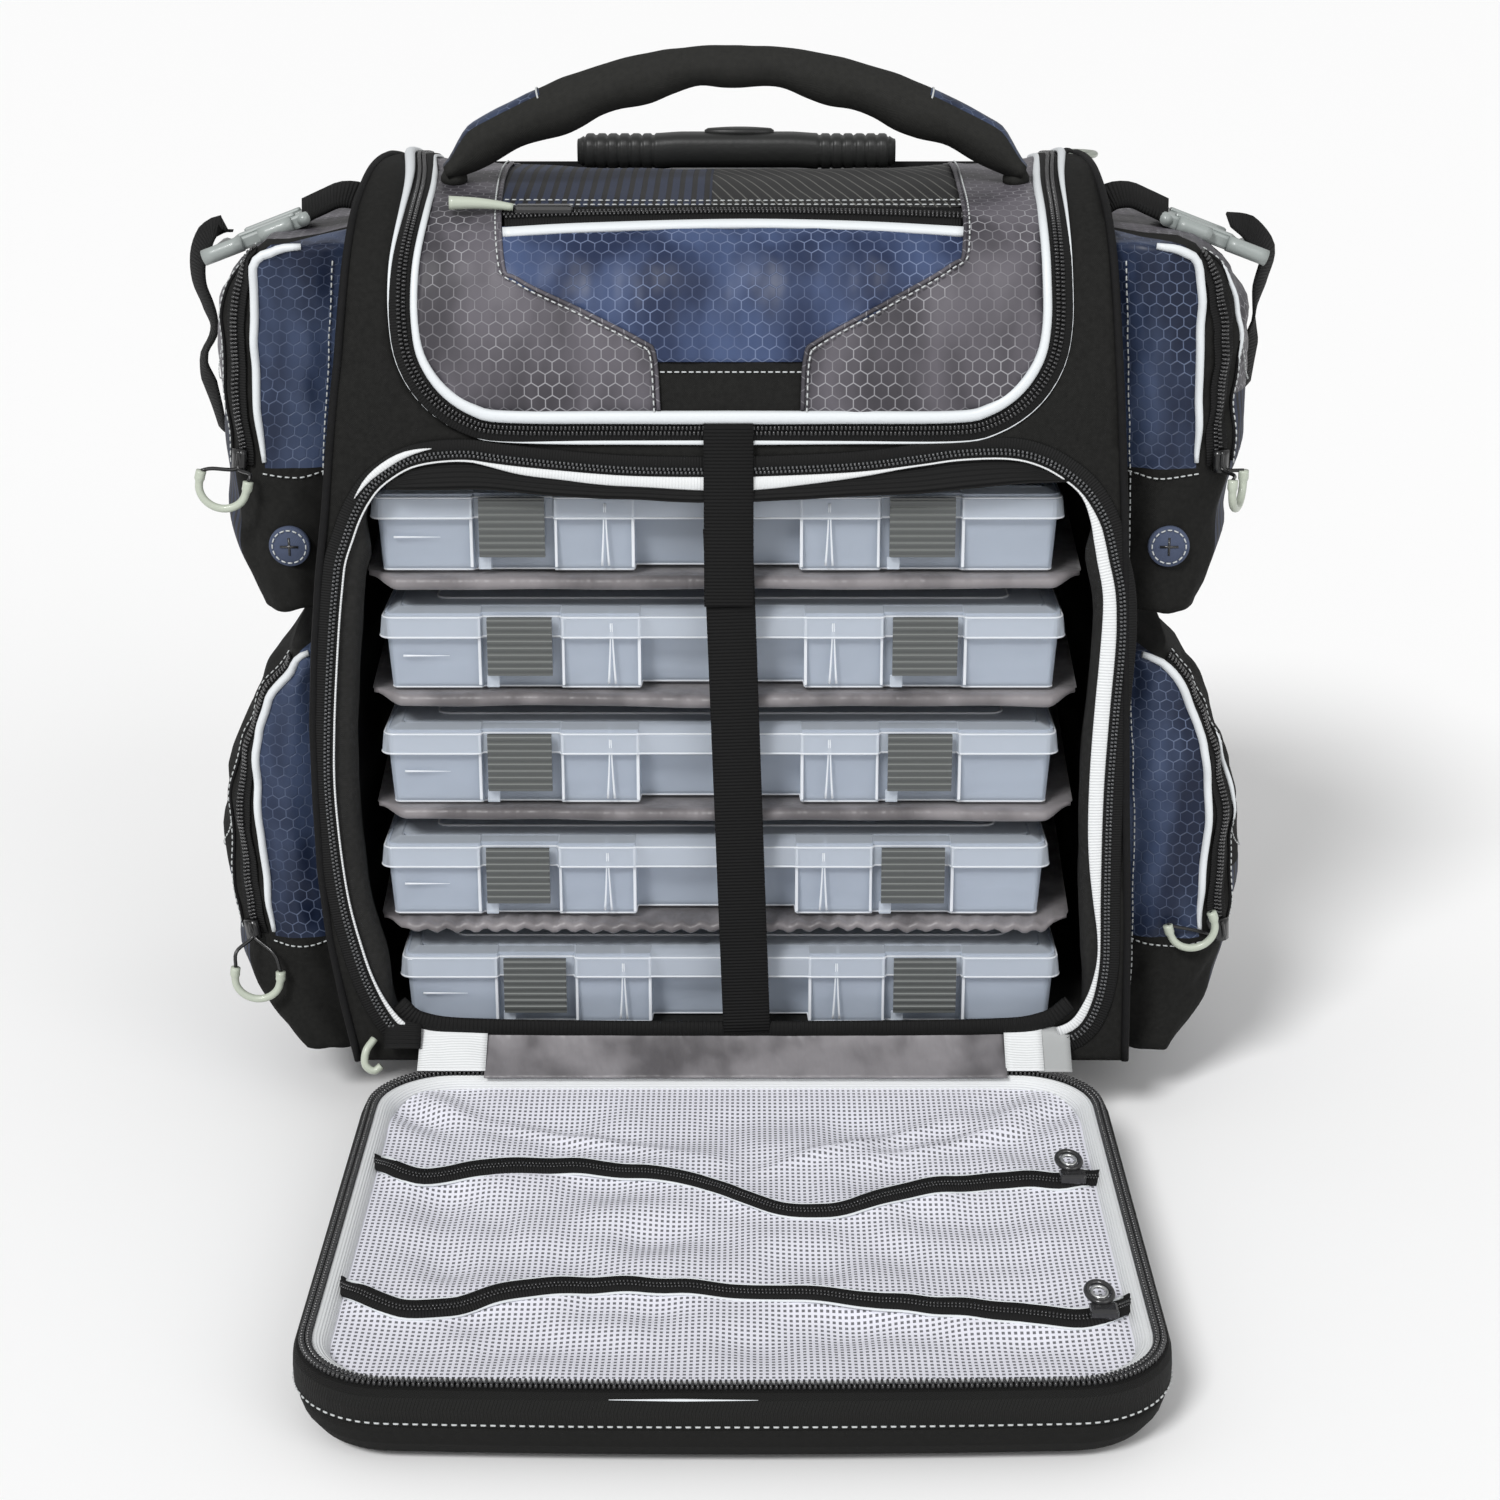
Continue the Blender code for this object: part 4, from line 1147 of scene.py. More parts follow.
def lid_borders():
    """The lid's piping, the zip that closes it, and the body's piping beside the zip."""
    path = beside_lid(0.0, 0.0022)
    radius = np.interp(share(path), (0.0, 0.1, 0.3, 0.36, 0.5, 0.64, 0.7, 0.9, 1.0),
                       (0.0012, 0.0015, 0.0019, 0.0031, 0.0035, 0.0031, 0.0023, 0.0021, 0.0022))
    tube("lid_piping", path, radius, PIPING, "lid", 10, squeeze=(1.0, 0.8))
    zipper("lid_zip", beside_lid(0.0066, 0.0006, 0.003), "bag", 0.013)
    path = beside_lid(0.0128, 0.0012)
    radius = np.interp(share(path), (0.0, 0.05, 0.14, 0.22, 0.28, 0.36, 0.42, 0.5, 0.58, 0.7, 0.75,
                                     0.8, 0.88, 0.95, 1.0),
                       (0.0028, 0.003, 0.0026, 0.0014, 0.0003, 0.0001, 0.0011, 0.0013, 0.0008,
                        0.0002, 0.0003, 0.001, 0.002, 0.0024, 0.0024))
    tube("body_piping", path, radius, PIPING, "bag", 10, squeeze=(1.0, 0.7))


def lid_slider():
    """The pocket zip's slider with its pale pull, which lies toward the left."""
    at = on_bag(-0.098, 0.505)
    low = at - np.array((0.014, 0.0045, 0.0002, 0, 0, 0))
    made = solid("lid_slider_body", low[:3], low[:3] + np.array((0.03, 0.0095, 0.006)), SLIDER,
                 "lid_zip", 0.0022)
    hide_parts("lid_slider")
    path = [(-0.112, 0.044, 0.4915), (-0.122, 0.043, 0.493), (-0.132, 0.0425, 0.4938),
            (-0.144, 0.042, 0.494)]
    line = curve(path, 0.002, 6)
    tube("lid_pull", line, np.linspace(0.0019, 0.0036, len(line)), PULL, "lid_zip", 10)


lid_panels()
lid_seams()
lid_borders()
lid_slider()


# ---------------------------------------------------------------- carry handle
def carry_handle():
    """A padded arch over the lid, scalloped underneath, with navy patches and sewn feet."""
    span, rise, foot, bend = 0.15, 0.048, 0.5085, 0.018
    steps, sides = 96, 28
    rows = []

    def height(x):
        flat = (math.hypot(x, bend) - bend) / (math.hypot(span, bend) - bend)
        return foot + rise * (1 - flat ** 1.45)

    for k in range(steps + 1):
        x = -span + 2 * span * k / steps
        z = height(x)
        tangent = unit((0.002, 0.0, height(x + 0.001) - height(x - 0.001)))
        up = np.array((-tangent[2], 0.0, tangent[0]))
        tuck = float(ease((abs(x) - 0.132) / 0.02))
        grow = 0.0101 + 0.0029 * math.sin(math.pi * min(abs(x) / 0.165, 1.0)) ** 1.6
        z -= 0.0065 * tuck
        flat = 1 - 0.55 * tuck
        row = []
        for turn in turns(sides):
            under = max(0.0, -math.sin(turn))
            scallop = under * 0.0013 * math.cos(x * 2 * math.pi / 0.046)
            reach = grow + scallop + 0.0005 * noise.noise(Vector((x / 0.012, turn, 2.0)))
            row.append(np.array((x, 0.1, z)) + up * math.sin(turn) * reach * flat
                       + np.array((0, -1, 0)) * math.cos(turn) * reach * 1.15)
        rows.append(row)

    def pick(i, j):
        x = -span + 2 * span * (i + 0.5) / steps
        turn = 360.0 * (j + 0.5) / sides
        return 1 if 50 < turn < 130 and abs(x) > 0.098 else 0

    made = skin("handle_cover", rows, [HANDLE, NAVY_SIDE], "lid", closed=True, capped=True,
                slots=pick, flip=True)
    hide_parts("carry_handle")
    for side, word, _ in SIDES:
        x = side * 0.0985
        path = [(x + side * 0.0045 * math.sin(a), 0.1 - 0.015 * math.cos(a),
                 height(x) + 0.0126 * math.sin(a)) for a in np.radians(np.linspace(42, 140, 12))]
        tube(f"handle_stitch_{word}", path, 0.0005, THREAD, "lid", 6)
        rows = [[(side * 0.147 + 0.007 * grow * math.cos(a), 0.1 + 0.01 * grow * math.sin(a), level)
                 for a in turns(20)] for level, grow in ((0.4965, 1.0), (0.4998, 1.0), (0.503, 0.75))]
        skin(f"handle_foot_{word}", rows, HANDLE, "lid", closed=True, capped=True)


carry_handle()


# ---------------------------------------------------------------- side pockets
# Round a pocket's plan, from its front seam to its back: shares of how far out, how far back.
PLAN = [(0.0, 0.03), (0.27, -0.01), (0.54, 0.0), (0.69, 0.03), (0.83, 0.085), (0.95, 0.22),
        (1.0, 0.45), (0.96, 0.76), (0.74, 0.95), (0.35, 1.0), (0.0, 1.0)]
# Grid columns between two points of the plan, and the columns of the piping and the zip's edges.
PER = 6
PIPE_COL, ZIP_COL, FAR_COL = 2 * PER, 3 * PER, 4 * PER
POCKET_NEAR, POCKET_FAR = 0.03, 0.213
# Rows up a pocket's wall, and the share of its full size of the rows that close each end.
WALL_ROWS, END_SIZES = 56, (0.05, 0.45, 0.82)


def outward(rows):
    """A pocket's normals, pointing away from the bag."""
    normals = normals_of(rows, flip=True)
    return -normals if normals[30, 30, 0] < 0 else normals


class Pocket:
    """A soft pocket as a grid: rows run up its height, columns round its plan."""

    def __init__(self, side, levels, pipe, seed):
        """levels are (height, how far it stands out), pipe (height, X of its piping)."""
        self.side = side
        plan = smooth(PLAN, PER)
        split = plan[PIPE_COL, 0]
        z_low, z_high = levels[0][0], levels[-1][0]
        zs = np.concatenate([[z_low] * 3, np.linspace(z_low, z_high, WALL_ROWS), [z_high] * 3])
        shrink = [*END_SIZES] + [1.0] * WALL_ROWS + [*END_SIZES[::-1]]
        width = np.interp(zs, *zip(*levels))
        kernel = np.array((1, 2, 3, 2, 1)) / 9
        width[3:-3] = np.convolve(np.pad(width[3:-3], 2, "edge"), kernel, "valid")
        middle = (POCKET_NEAR + POCKET_FAR) / 2
        rows = []
        for z, w, s in zip(zs, width, shrink):
            base = float(side_x(z, side)) - 0.0008
            outer = 0.2118 + w
            edge = min(float(np.interp(z, *zip(*pipe))), outer - 0.006)
            bent = np.where(plan[:, 0] < split, base + plan[:, 0] / split * (edge - base),
                            edge + (plan[:, 0] - split) / (1 - split) * (outer - edge))
            x = np.where(np.arange(len(plan)) <= 6 * PER, bent, base + plan[:, 0] * (outer - base))
            x = base + (x - base) * s
            y = POCKET_NEAR + plan[:, 1] * (POCKET_FAR - POCKET_NEAR)
            y = middle + (y - middle) * (0.55 + 0.45 * s)
            dome = 0.0035 * (1 - s) * (1 if z > (z_low + z_high) / 2 else -1)
            rows.append(np.column_stack([x, y, np.full(len(x), z + dome)]))
        rows = np.array(rows)
        flat = rows.reshape(-1, 3)
        slant = np.column_stack([flat[:, 0] * 0.75 - flat[:, 2] * 0.66, flat[:, 1],
                                 flat[:, 0] * 0.66 + flat[:, 2] * 0.75])
        soft = (ripple(slant, (0.012, 0.05, 0.045), seed) * 0.0034
                + ripple(flat, (0.01, 0.04, 0.016), seed + 5) * 0.0008).reshape(rows.shape[:2])
        hold = ease(plan[:, 0] / 0.1) * ease((1.0 - plan[:, 1]) / 0.1)
        rows = rows + outward(rows) * (soft * hold)[:, :, None]
        normals = outward(rows)
        rows[:, :, 0] *= side
        normals[:, :, 0] *= side
        self.rows, self.normals, self.zs = rows, normals, zs

    def row_at(self, z):
        """The fractional row at a height."""
        return 3 + (WALL_ROWS - 1) * (z - self.zs[3]) / (self.zs[-4] - self.zs[3])

    def at(self, i, j, lift=0.0):
        """A place on the surface at fractional row i and column j, with its normal."""
        i = min(max(i, 0.0), self.rows.shape[0] - 1.001)
        j = min(max(j, 0.0), self.rows.shape[1] - 1.001)
        a, b, s, t = int(i), int(j), i - int(i), j - int(j)
        out = []
        for grid in (self.rows, self.normals):
            out.append(grid[a, b] * (1 - s) * (1 - t) + grid[a + 1, b] * s * (1 - t)
                       + grid[a, b + 1] * (1 - s) * t + grid[a + 1, b + 1] * s * t)
        normal = unit(out[1])
        return np.concatenate([out[0] + normal * lift, normal])

    def column(self, z, x):
        """The front column that passes through a distance x from the middle at a height."""
        row = self.rows[int(round(self.row_at(z)))]
        return float(np.interp(x, np.abs(row[:PIPE_COL + 1, 0]), np.arange(PIPE_COL + 1)))

    def path(self, points, lift):
        """A curve over the pocket through (height, column) points."""
        line = curve([(self.row_at(z) * 0.004, j * 0.004) for z, j in points])
        return resample(np.array([self.at(i / 0.004, j / 0.004, lift) for i, j in line]), 0.004)


def pocket(kind, side, word, short):
    """A side pocket with its zip, piping, stitching and pull. Navy cloth starts at hem."""
    levels, pipe, seed = POCKETS[kind, side]
    hem, mesh_top, low_far, high_far = HEIGHTS[kind]
    upper = kind == "upper"
    body = Pocket(side, levels, pipe, seed)
    name = f"{kind}_{word}"
    z_low, z_high = levels[0][0], levels[-1][0]

    def pick(i, j):
        z = body.zs[min(i, len(body.zs) - 1)]
        if j < PIPE_COL:
            return 1 if z > hem else 0
        if j < FAR_COL:
            return 0
        return 3 if z < mesh_top else 2

    finishes = [BLACK, NAVY_SIDE, GREY if upper else BLACK, DARK_MESH]
    made = skin(f"{name}_pocket", body.rows, finishes, "bag", slots=pick, flip=side == RIGHT)
    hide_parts(f"{kind}_pocket_{word}")

    rise = z_high - 0.004
    path = body.path([(hem + 0.006, PIPE_COL), ((hem + z_high) / 2, PIPE_COL), (rise - 0.008, PIPE_COL),
                      (rise + 0.001, PIPE_COL - 1.5), (rise + 0.004, PIPE_COL - 5)], 0.0006)
    radius = np.interp(np.linspace(0, 1, len(path)), (0, 0.15, 0.9, 1), (0.0012, 0.0021, 0.0024, 0.0016))
    tube(f"{name}_piping", path, radius, PIPING, "bag", 8)
    ends = (hem + 0.004, z_high - 0.03, rise)
    coil, edge = (body.path([(z, column) for z in ends], 0.0006) for column in (ZIP_COL, FAR_COL))
    zipper(f"{name}_zip", coil, "bag", 0.013)
    tube(f"{name}_zip_edge", edge, 0.001, BLACK_SOFT, "bag", 6)
    stitches(f"{name}_zip_stitch", edge, "bag", lift=0.001)

    for tag, line in (("hem", [(hem + 0.001, 1.5), (hem - 0.002, PIPE_COL * 0.5), (hem, PIPE_COL)]),
                      ("side", [(hem, 1.6), ((hem + z_high) / 2, 1.6), (rise - 0.005, 1.6)]),
                      ("low", [(z_low + 0.006, 1.6), (hem - 0.004, 1.6)]),
                      ("mesh", [(mesh_top + 0.03, FAR_COL + 1), (mesh_top + 0.006, FAR_COL + 7),
                                (mesh_top + 0.004, FAR_COL + 16)])):
        if tag != "low" or side == RIGHT:
            stitches(f"{name}_{tag}_stitch", body.path(line, 0.0006), "bag")
    if upper:
        patch(name, body)
    if side == RIGHT:
        far = body.path([(z, FAR_COL) for z in (low_far, (low_far + high_far) / 2, high_far)], 0.001)
        tube(f"{name}_far_piping", far, 0.0003 + 0.0011 * np.sin(np.linspace(0.1, 2.8, len(far))),
             PIPING, "bag", 8)
    pull(kind, side, word, short, body, hem)


def patch(name, body):
    """A round eyelet patch with a cross-shaped slit, on the pocket's black lower part."""
    x = 0.231 if body.side < 0 else 0.225
    centre = body.at(body.row_at(0.3195), body.column(0.3195, x))
    origin, normal = centre[:3], unit(centre[3:] + np.array((0, -2.0, 0)))
    right = unit(np.cross((0, 0, 1.0), normal))
    right = right if right[0] > 0 else -right
    up = unit(np.cross(normal, right))
    up = up if up[2] > 0 else -up

    def disc(radius, lift):
        return [origin + normal * lift + (right * math.cos(a) + up * math.sin(a)) * radius
                for a in turns(40)]

    rows = [disc(0.0108, 0.0008), disc(0.0108, 0.0026), disc(0.0102, 0.0032), disc(0.0001, 0.0032)]
    skin(f"{name}_patch", rows, NAVY_PLAIN, "bag", closed=True)
    ring = np.column_stack([disc(0.0088, 0.0032), np.tile(normal, (40, 1))])
    stitches(f"{name}_patch_stitch", ring, "bag", closed=True, pitch=0.0034)
    for k, (a, b) in enumerate(((right, up), (up, right))):
        rows = [[origin + normal * 0.0034 + a * s * 0.0048 + b * t * 0.0006 for t in (-1, 1)]
                for s in (-1, 1)]
        skin(f"{name}_patch_slit_{k}", rows, TEETH, "bag", thick=0.0003)


# For each pocket: the middle of its pull, and the degrees that the pull is turned about Z.
PULLS = {("upper", LEFT): ((-0.263, 0.0215, 0.352), 0), ("upper", RIGHT): ((0.2585, 0.023, 0.352), 68),
         ("lower", LEFT): ((-0.26, 0.0215, 0.078), 0), ("lower", RIGHT): ((0.247, 0.0215, 0.108), 0)}


def pull(kind, side, word, short, body, hem):
    """A zip slider with a U-shaped pull on a loop of cord."""
    (x, y, z), turn = PULLS[kind, side]
    rider = f"pull_{kind}_{short}"
    swing = math.radians(turn)
    tilt = math.radians(-14 if kind == "upper" else -6) if side == LEFT else 0.0
    if kind == "lower" and side == RIGHT:
        tilt = math.radians(18)
    flat = [(-0.0122, 0.006), (-0.0124, 0.003)]
    flat += [(0.0122 * math.cos(a), 0.0112 * math.sin(a)) for a in np.linspace(math.pi, 2 * math.pi, 13)]
    flat += [(0.0124, 0.003), (0.0122, 0.006)]
    points = []
    for u, v in flat:
        u, v = u * math.cos(tilt) - v * math.sin(tilt), u * math.sin(tilt) + v * math.cos(tilt)
        points.append((x + u * math.cos(swing), y + u * math.sin(swing), z + v))
    path = curve(points, 0.0015, 4)
    ends = np.minimum(np.arange(len(path)), np.arange(len(path))[::-1])
    radius = np.where(ends < 4, 0.0027, 0.0021)
    made = tube(f"{kind}_pull_loop_{word}", path, radius, PULL, rider, 10)
    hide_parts(f"{kind}_pull_{word}")

    top = body.at(body.row_at(hem + 0.012), ZIP_COL + 0.5, 0.0035)
    lower = body.at(body.row_at(hem + 0.001), ZIP_COL + 0.5, 0.004)
    block = resample(np.vstack([top, lower]), 0.003)
    tube(f"{kind}_slider_{word}", block, 0.0046, SLIDER, rider, 8, squeeze=(1.1, 0.7))
    knot = lower[:3] + np.array((0, -0.003, 0.002))
    for k, end in enumerate((path[0, :3], path[-1, :3])):
        middle = (knot + end) / 2 + np.array((-0.004 if k == 0 else 0.004, -0.002, 0.001)) * side * -1
        cord = curve([top[:3] + np.array((0, -0.004, 0)), knot, middle, end], 0.002)
        tube(f"{kind}_pull_cord_{word}_{k}", cord, 0.001, SLIDER, rider, 6)


# For each kind: where the navy cloth starts, where the ribbed cloth ends, the far piping's ends.
HEIGHTS = {"upper": (0.357, 0.392, 0.408, 0.462), "lower": (0.097, 0.13, 0.157, 0.212)}
# For each pocket: (height, how far it stands out), (height, X of its piping), and its folds' seed.
POCKETS = {
    ("upper", LEFT): (
        [(0.284, 0.041), (0.29, 0.049), (0.3, 0.054), (0.315, 0.058), (0.33, 0.059),
         (0.37, 0.061), (0.42, 0.062), (0.44, 0.059), (0.452, 0.053), (0.462, 0.044),
         (0.469, 0.033), (0.474, 0.025)],
        [(0.284, 0.238), (0.359, 0.2422), (0.375, 0.2434), (0.3905, 0.2443), (0.4265, 0.2439),
         (0.4469, 0.2428), (0.4691, 0.241), (0.474, 0.233)], 2.0),
    ("upper", RIGHT): (
        [(0.284, 0.034), (0.29, 0.042), (0.3, 0.047), (0.33, 0.051), (0.37, 0.058),
         (0.42, 0.06), (0.44, 0.056), (0.452, 0.05), (0.462, 0.042), (0.469, 0.033),
         (0.474, 0.025)],
        [(0.284, 0.234), (0.356, 0.2379), (0.386, 0.2374), (0.4163, 0.2364), (0.4469, 0.2362),
         (0.457, 0.2349), (0.4691, 0.2333), (0.474, 0.226)], 12.0),
    ("lower", LEFT): (
        [(0.034, 0.03), (0.041, 0.04), (0.048, 0.05), (0.06, 0.061), (0.08, 0.067),
         (0.11, 0.07), (0.15, 0.0725), (0.175, 0.07), (0.195, 0.0655), (0.209, 0.058),
         (0.218, 0.053), (0.24, 0.042), (0.2605, 0.026)],
        [(0.034, 0.236), (0.06, 0.247), (0.0992, 0.2509), (0.1224, 0.2526), (0.1784, 0.2554),
         (0.2069, 0.2548), (0.2191, 0.2531), (0.2372, 0.2455), (0.2591, 0.2282)], 5.0),
    ("lower", RIGHT): (
        [(0.034, 0.03), (0.041, 0.04), (0.048, 0.048), (0.06, 0.055), (0.08, 0.062),
         (0.11, 0.067), (0.138, 0.069), (0.1725, 0.065), (0.196, 0.0575), (0.2195, 0.048),
         (0.24, 0.034), (0.2605, 0.02)],
        [(0.034, 0.236), (0.06, 0.247), (0.0992, 0.252), (0.1328, 0.2515), (0.1661, 0.2535),
         (0.1886, 0.2524), (0.2131, 0.248), (0.2293, 0.242), (0.2453, 0.234), (0.2605, 0.221)],
        17.0)}

for side, word, short in SIDES:
    for kind in ("upper", "lower"):
        pocket(kind, side, word, short)


# ---------------------------------------------------------------- compression buckles and ring
# A buckle's two ends, and the straps' loose tails, as (distance from the middle, Z).
INNER, OUTER = np.array((0.219, 0.4815)), np.array((0.2715, 0.4615))
TAILS = {LEFT: [(0.2655, 0.4725), (0.272, 0.4735), (0.2785, 0.468), (0.2828, 0.458),
                (0.283, 0.445), (0.279, 0.433), (0.2765, 0.42), (0.2815, 0.408),
                (0.2825, 0.4), (0.2775, 0.379), (0.275, 0.366)],
         RIGHT: [(0.259, 0.477), (0.27, 0.4725), (0.2785, 0.464), (0.28, 0.457),
                 (0.2768, 0.444), (0.2742, 0.424), (0.273, 0.404), (0.2725, 0.39)]}


def buckle(side, word):
    """A side-release buckle of blocks and bars, which slopes down to the outside."""
    length = float(np.linalg.norm(OUTER - INNER))
    direction = unit(OUTER - INNER)
    lift = np.array((-direction[1], direction[0]))

    def point(along, up, y):
        flat = INNER + direction * along + lift * up
        return (side * flat[0], y, flat[1])

    for tag, a, b, low, high, y0, y1 in (
            ("frame", 0.006, length - 0.008, -0.0035, 0.0035, 0.0855, 0.1145),
            ("rail", 0.01, length - 0.014, 0.003, 0.0052, 0.087, 0.092),
            ("rail_back", 0.01, length - 0.014, 0.003, 0.0052, 0.108, 0.113),
            ("prong", 0.018, length - 0.016, 0.003, 0.0046, 0.0965, 0.1035)):
        rows = [[point(a, low, y), point(b, low, y), point(b, high, y), point(a, high, y)]
                for y in (y0, y1)]
        made = skin(f"buckle_{tag}_{word}", rows, BUCKLE, "bag", closed=True, capped=True, flat=True,
                    flip=side == LEFT)
        soften(made, 0.0014)
        if tag == "frame":
            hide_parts(f"buckle_{word}")
    for tag, along, y0, y1, radius in (("end", length - 0.001, 0.083, 0.117, 0.0038),
                                       ("near", 0.006, 0.085, 0.115, 0.0034)):
        path = [point(along, 0.0, y) for y in np.linspace(y0, y1, 6)]
        tube(f"buckle_bar_{tag}_{word}", path, radius, BUCKLE, "bag", 12)
    for tag, a, b in (("near", 0.012, 0.03), ("outer", length - 0.016, length + 0.006)):
        rail = [point(t, 0.0005, 0.083) for t in np.linspace(a, b, 5)]
        tube(f"buckle_side_{tag}_{word}", rail, 0.0042, BUCKLE, "bag", 12)


def compression(side, word):
    """The webbing strap from the shoulder to the buckle, and its loose tail."""
    line = curve([(side * x, 0.1, z) for x, z in ((0.188, 0.48), (0.196, 0.488), (0.206, 0.4895),
                                                  (0.215, 0.486), (0.226, 0.481))], 0.003)
    out = np.cross(unit(np.gradient(line, axis=0)), (0, side * 1.0, 0))
    out = np.where(out[:, 2:3] + out[:, 0:1] * side * 0.2 < 0, -out, out)
    out = unit(out + np.array((0.0, -0.35, 0.0)))
    ribbon(f"compression_strap_{word}", np.hstack([line, out]), 0.0265, 0.0032, WEBBING, "bag")
    line = curve([(side * x, 0.1, z) for x, z in TAILS[side]], 0.003)
    out = unit(np.cross(unit(np.gradient(line, axis=0)), (0, 1.0, 0)))
    out = np.where(out[:, 0:1] * side < 0, -out, out)
    twist = np.interp(np.arange(len(line)) / len(line), (0, 0.12, 0.45, 0.6, 0.75, 1.0),
                      (0.15, 0.5, 0.42, 0.15, 0.5, 0.3))[:, None]
    out = out * np.cos(twist) + np.array((0, -1.0, 0)) * np.sin(twist)
    ribbon(f"compression_tail_{word}", np.hstack([line, unit(out)]), 0.0245, 0.0016, WEBBING,
           "bag")


def ring():
    """The lashing ring on a webbing tab, on top of the right shoulder."""
    bar_x, y, z = 0.185, 0.202, 0.4995
    bend = [(bar_x + 0.015 * math.sin(a), y - 0.011 * math.cos(a), z, 0, 0, 1)
            for a in np.linspace(0, math.pi, 20)]
    made = tube("lash_ring", bend, 0.0017, RING, "ring", 10, closed=True)
    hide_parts("d_ring")
    ribbon("ring_tab", [(bar_x + 0.004 * math.sin(a), y, z - 0.002 + 0.0035 * math.cos(a),
                         math.sin(a), 0, math.cos(a)) for a in np.linspace(-2.2, 1.6, 10)],
           0.016, 0.0012, WEBBING, "bag")


for side, word, _ in SIDES:
    buckle(side, word)
    compression(side, word)
ring()


# ---------------------------------------------------------------- trolley grip
def grip():
    """The trolley's rubber grip, with finger grooves at both ends, and its release button."""
    half, centre_y, centre_z = 0.0915, 0.261, 0.4942
    rows = []
    for x in np.linspace(-half, half, 184):
        ends = float(ease((half - abs(x)) / 0.006))
        half_y, half_z = 0.013 * (0.55 + 0.45 * ends), 0.0098 * (0.7 + 0.3 * ends)
        lift = 0.001 * float(ease((0.05 - abs(x)) / 0.02))
        groove = 0.0
        if 0.046 < abs(x) < 0.088:
            groove = 0.0014 * max(0.0, math.cos((abs(x) - 0.048) * 2 * math.pi / 0.0066)) ** 3
        rows.append([(x, centre_y + blunt(math.cos(a), 0.6) * (half_y - groove),
                      centre_z + lift + blunt(math.sin(a), 0.6) * (half_z - groove))
                     for a in turns(24)])
    made = skin("trolley_grip_rubber", rows, GRIP, "trolley_handle", closed=True, capped=True)
    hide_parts("trolley_grip")
    cap = [[(0.0016 + 0.02 * s * math.cos(a), centre_y + 0.0075 * s * math.sin(a), z) for a in turns(32)]
           for s, z in ((1.0, 0.503), (1.0, 0.5062), (0.92, 0.5072), (0.5, 0.5078))]
    button = skin("trolley_button_cap", cap, GRIP, "trolley_release", closed=True, capped=True)
    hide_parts("trolley_button")


grip()


# ---------------------------------------------------------------- front door
DOOR_HALF, DOOR_NEAR, DOOR_FAR = 0.195, -0.0115, -0.334
# (X, Y) along the net's two zips.
ZIP_UPPER = [(-0.1842, -0.11), (-0.1632, -0.128), (-0.1438, -0.1245), (-0.1179, -0.1165), (-0.0779, -0.113),
             (-0.0272, -0.125), (0.0029, -0.145), (0.0257, -0.159), (0.0551, -0.1575), (0.0886, -0.142),
             (0.1224, -0.131), (0.145, -0.131), (0.164, -0.136), (0.1842, -0.129)]
ZIP_LOWER = [(-0.1842, -0.235), (-0.1744, -0.246), (-0.161, -0.255), (-0.1485, -0.2585), (-0.1307, -0.255),
             (-0.1072, -0.2443), (-0.0709, -0.2363), (-0.0432, -0.235), (0.0032, -0.239), (0.0522, -0.2465),
             (0.0975, -0.257), (0.142, -0.267), (0.166, -0.268), (0.1842, -0.252)]


def door_line(inset, z, step=0.004):
    """The door's outline at a height, bowed at its free edge, as a closed path."""
    hinge = min(inset, 0.0072) + max(inset - 0.0072, 0.0) * 0.4
    line = resample(rounded((-DOOR_HALF + inset, DOOR_FAR + inset), (DOOR_HALF - inset, DOOR_NEAR - hinge),
                            max(0.044 - inset * 0.8, 0.01), 8), step, True)
    x, y = line[:, 0], line[:, 1]
    middle = (DOOR_FAR + DOOR_NEAR) / 2
    y = np.where(y < middle, y - 0.005 * (1 - (x / DOOR_HALF) ** 2), y)
    return np.column_stack([x, y, np.full(len(x), z)])


def door_loops(levels):
    """The door's outline at each (inset, height), with matching points."""
    return [resample(door_line(inset, z, 0.002), 0.0, True, count=340) for inset, z in levels]


def front_door():
    """The open door: a soft tray with a gusset, white tape, a lining and a net with two zips."""
    body = "door"
    shell = skin("door_outer", door_loops(((0.06, 0.0004), (0.03, 0.0002), (0.016, 0.0012),
                                           (0.0075, 0.005), (0.003, 0.0115), (0.0012, 0.0175),
                                           (0.0008, 0.0215))),
                 FOAM, body, closed=True, capped=True)
    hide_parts("door_shell")
    skin("door_gusset", door_loops(((0.0008, 0.0215), (-0.0004, 0.0225), (-0.0006, 0.03),
                                    (-0.0002, 0.036), (0.0012, 0.0392), (0.0036, 0.0405),
                                    (0.0062, 0.0402))),
         FOAM_RIB, body, closed=True)
    door_edge(body)
    skin("door_white_tape", door_loops(((0.0078, 0.04), (0.0095, 0.0398), (0.0125, 0.0385),
                                        (0.015, 0.035), (0.0165, 0.03))),
         WHITE_TAPE, body, closed=True, thick=0.0008)
    skin("door_inner", door_loops(((0.017, 0.03), (0.02, 0.012), (0.024, 0.007), (0.08, 0.0065))),
         DOOR_LINING, body, closed=True, capped="last")
    net = panel("door_net", door_line(0.0135, 0.0)[:, :2], door_net, MESH, body, 0.004, 0.0)
    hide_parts("door_mesh")
    for name, line in (("upper", ZIP_UPPER), ("lower", ZIP_LOWER)):
        net_zip(name, line, body)
        net_slider(name, line)


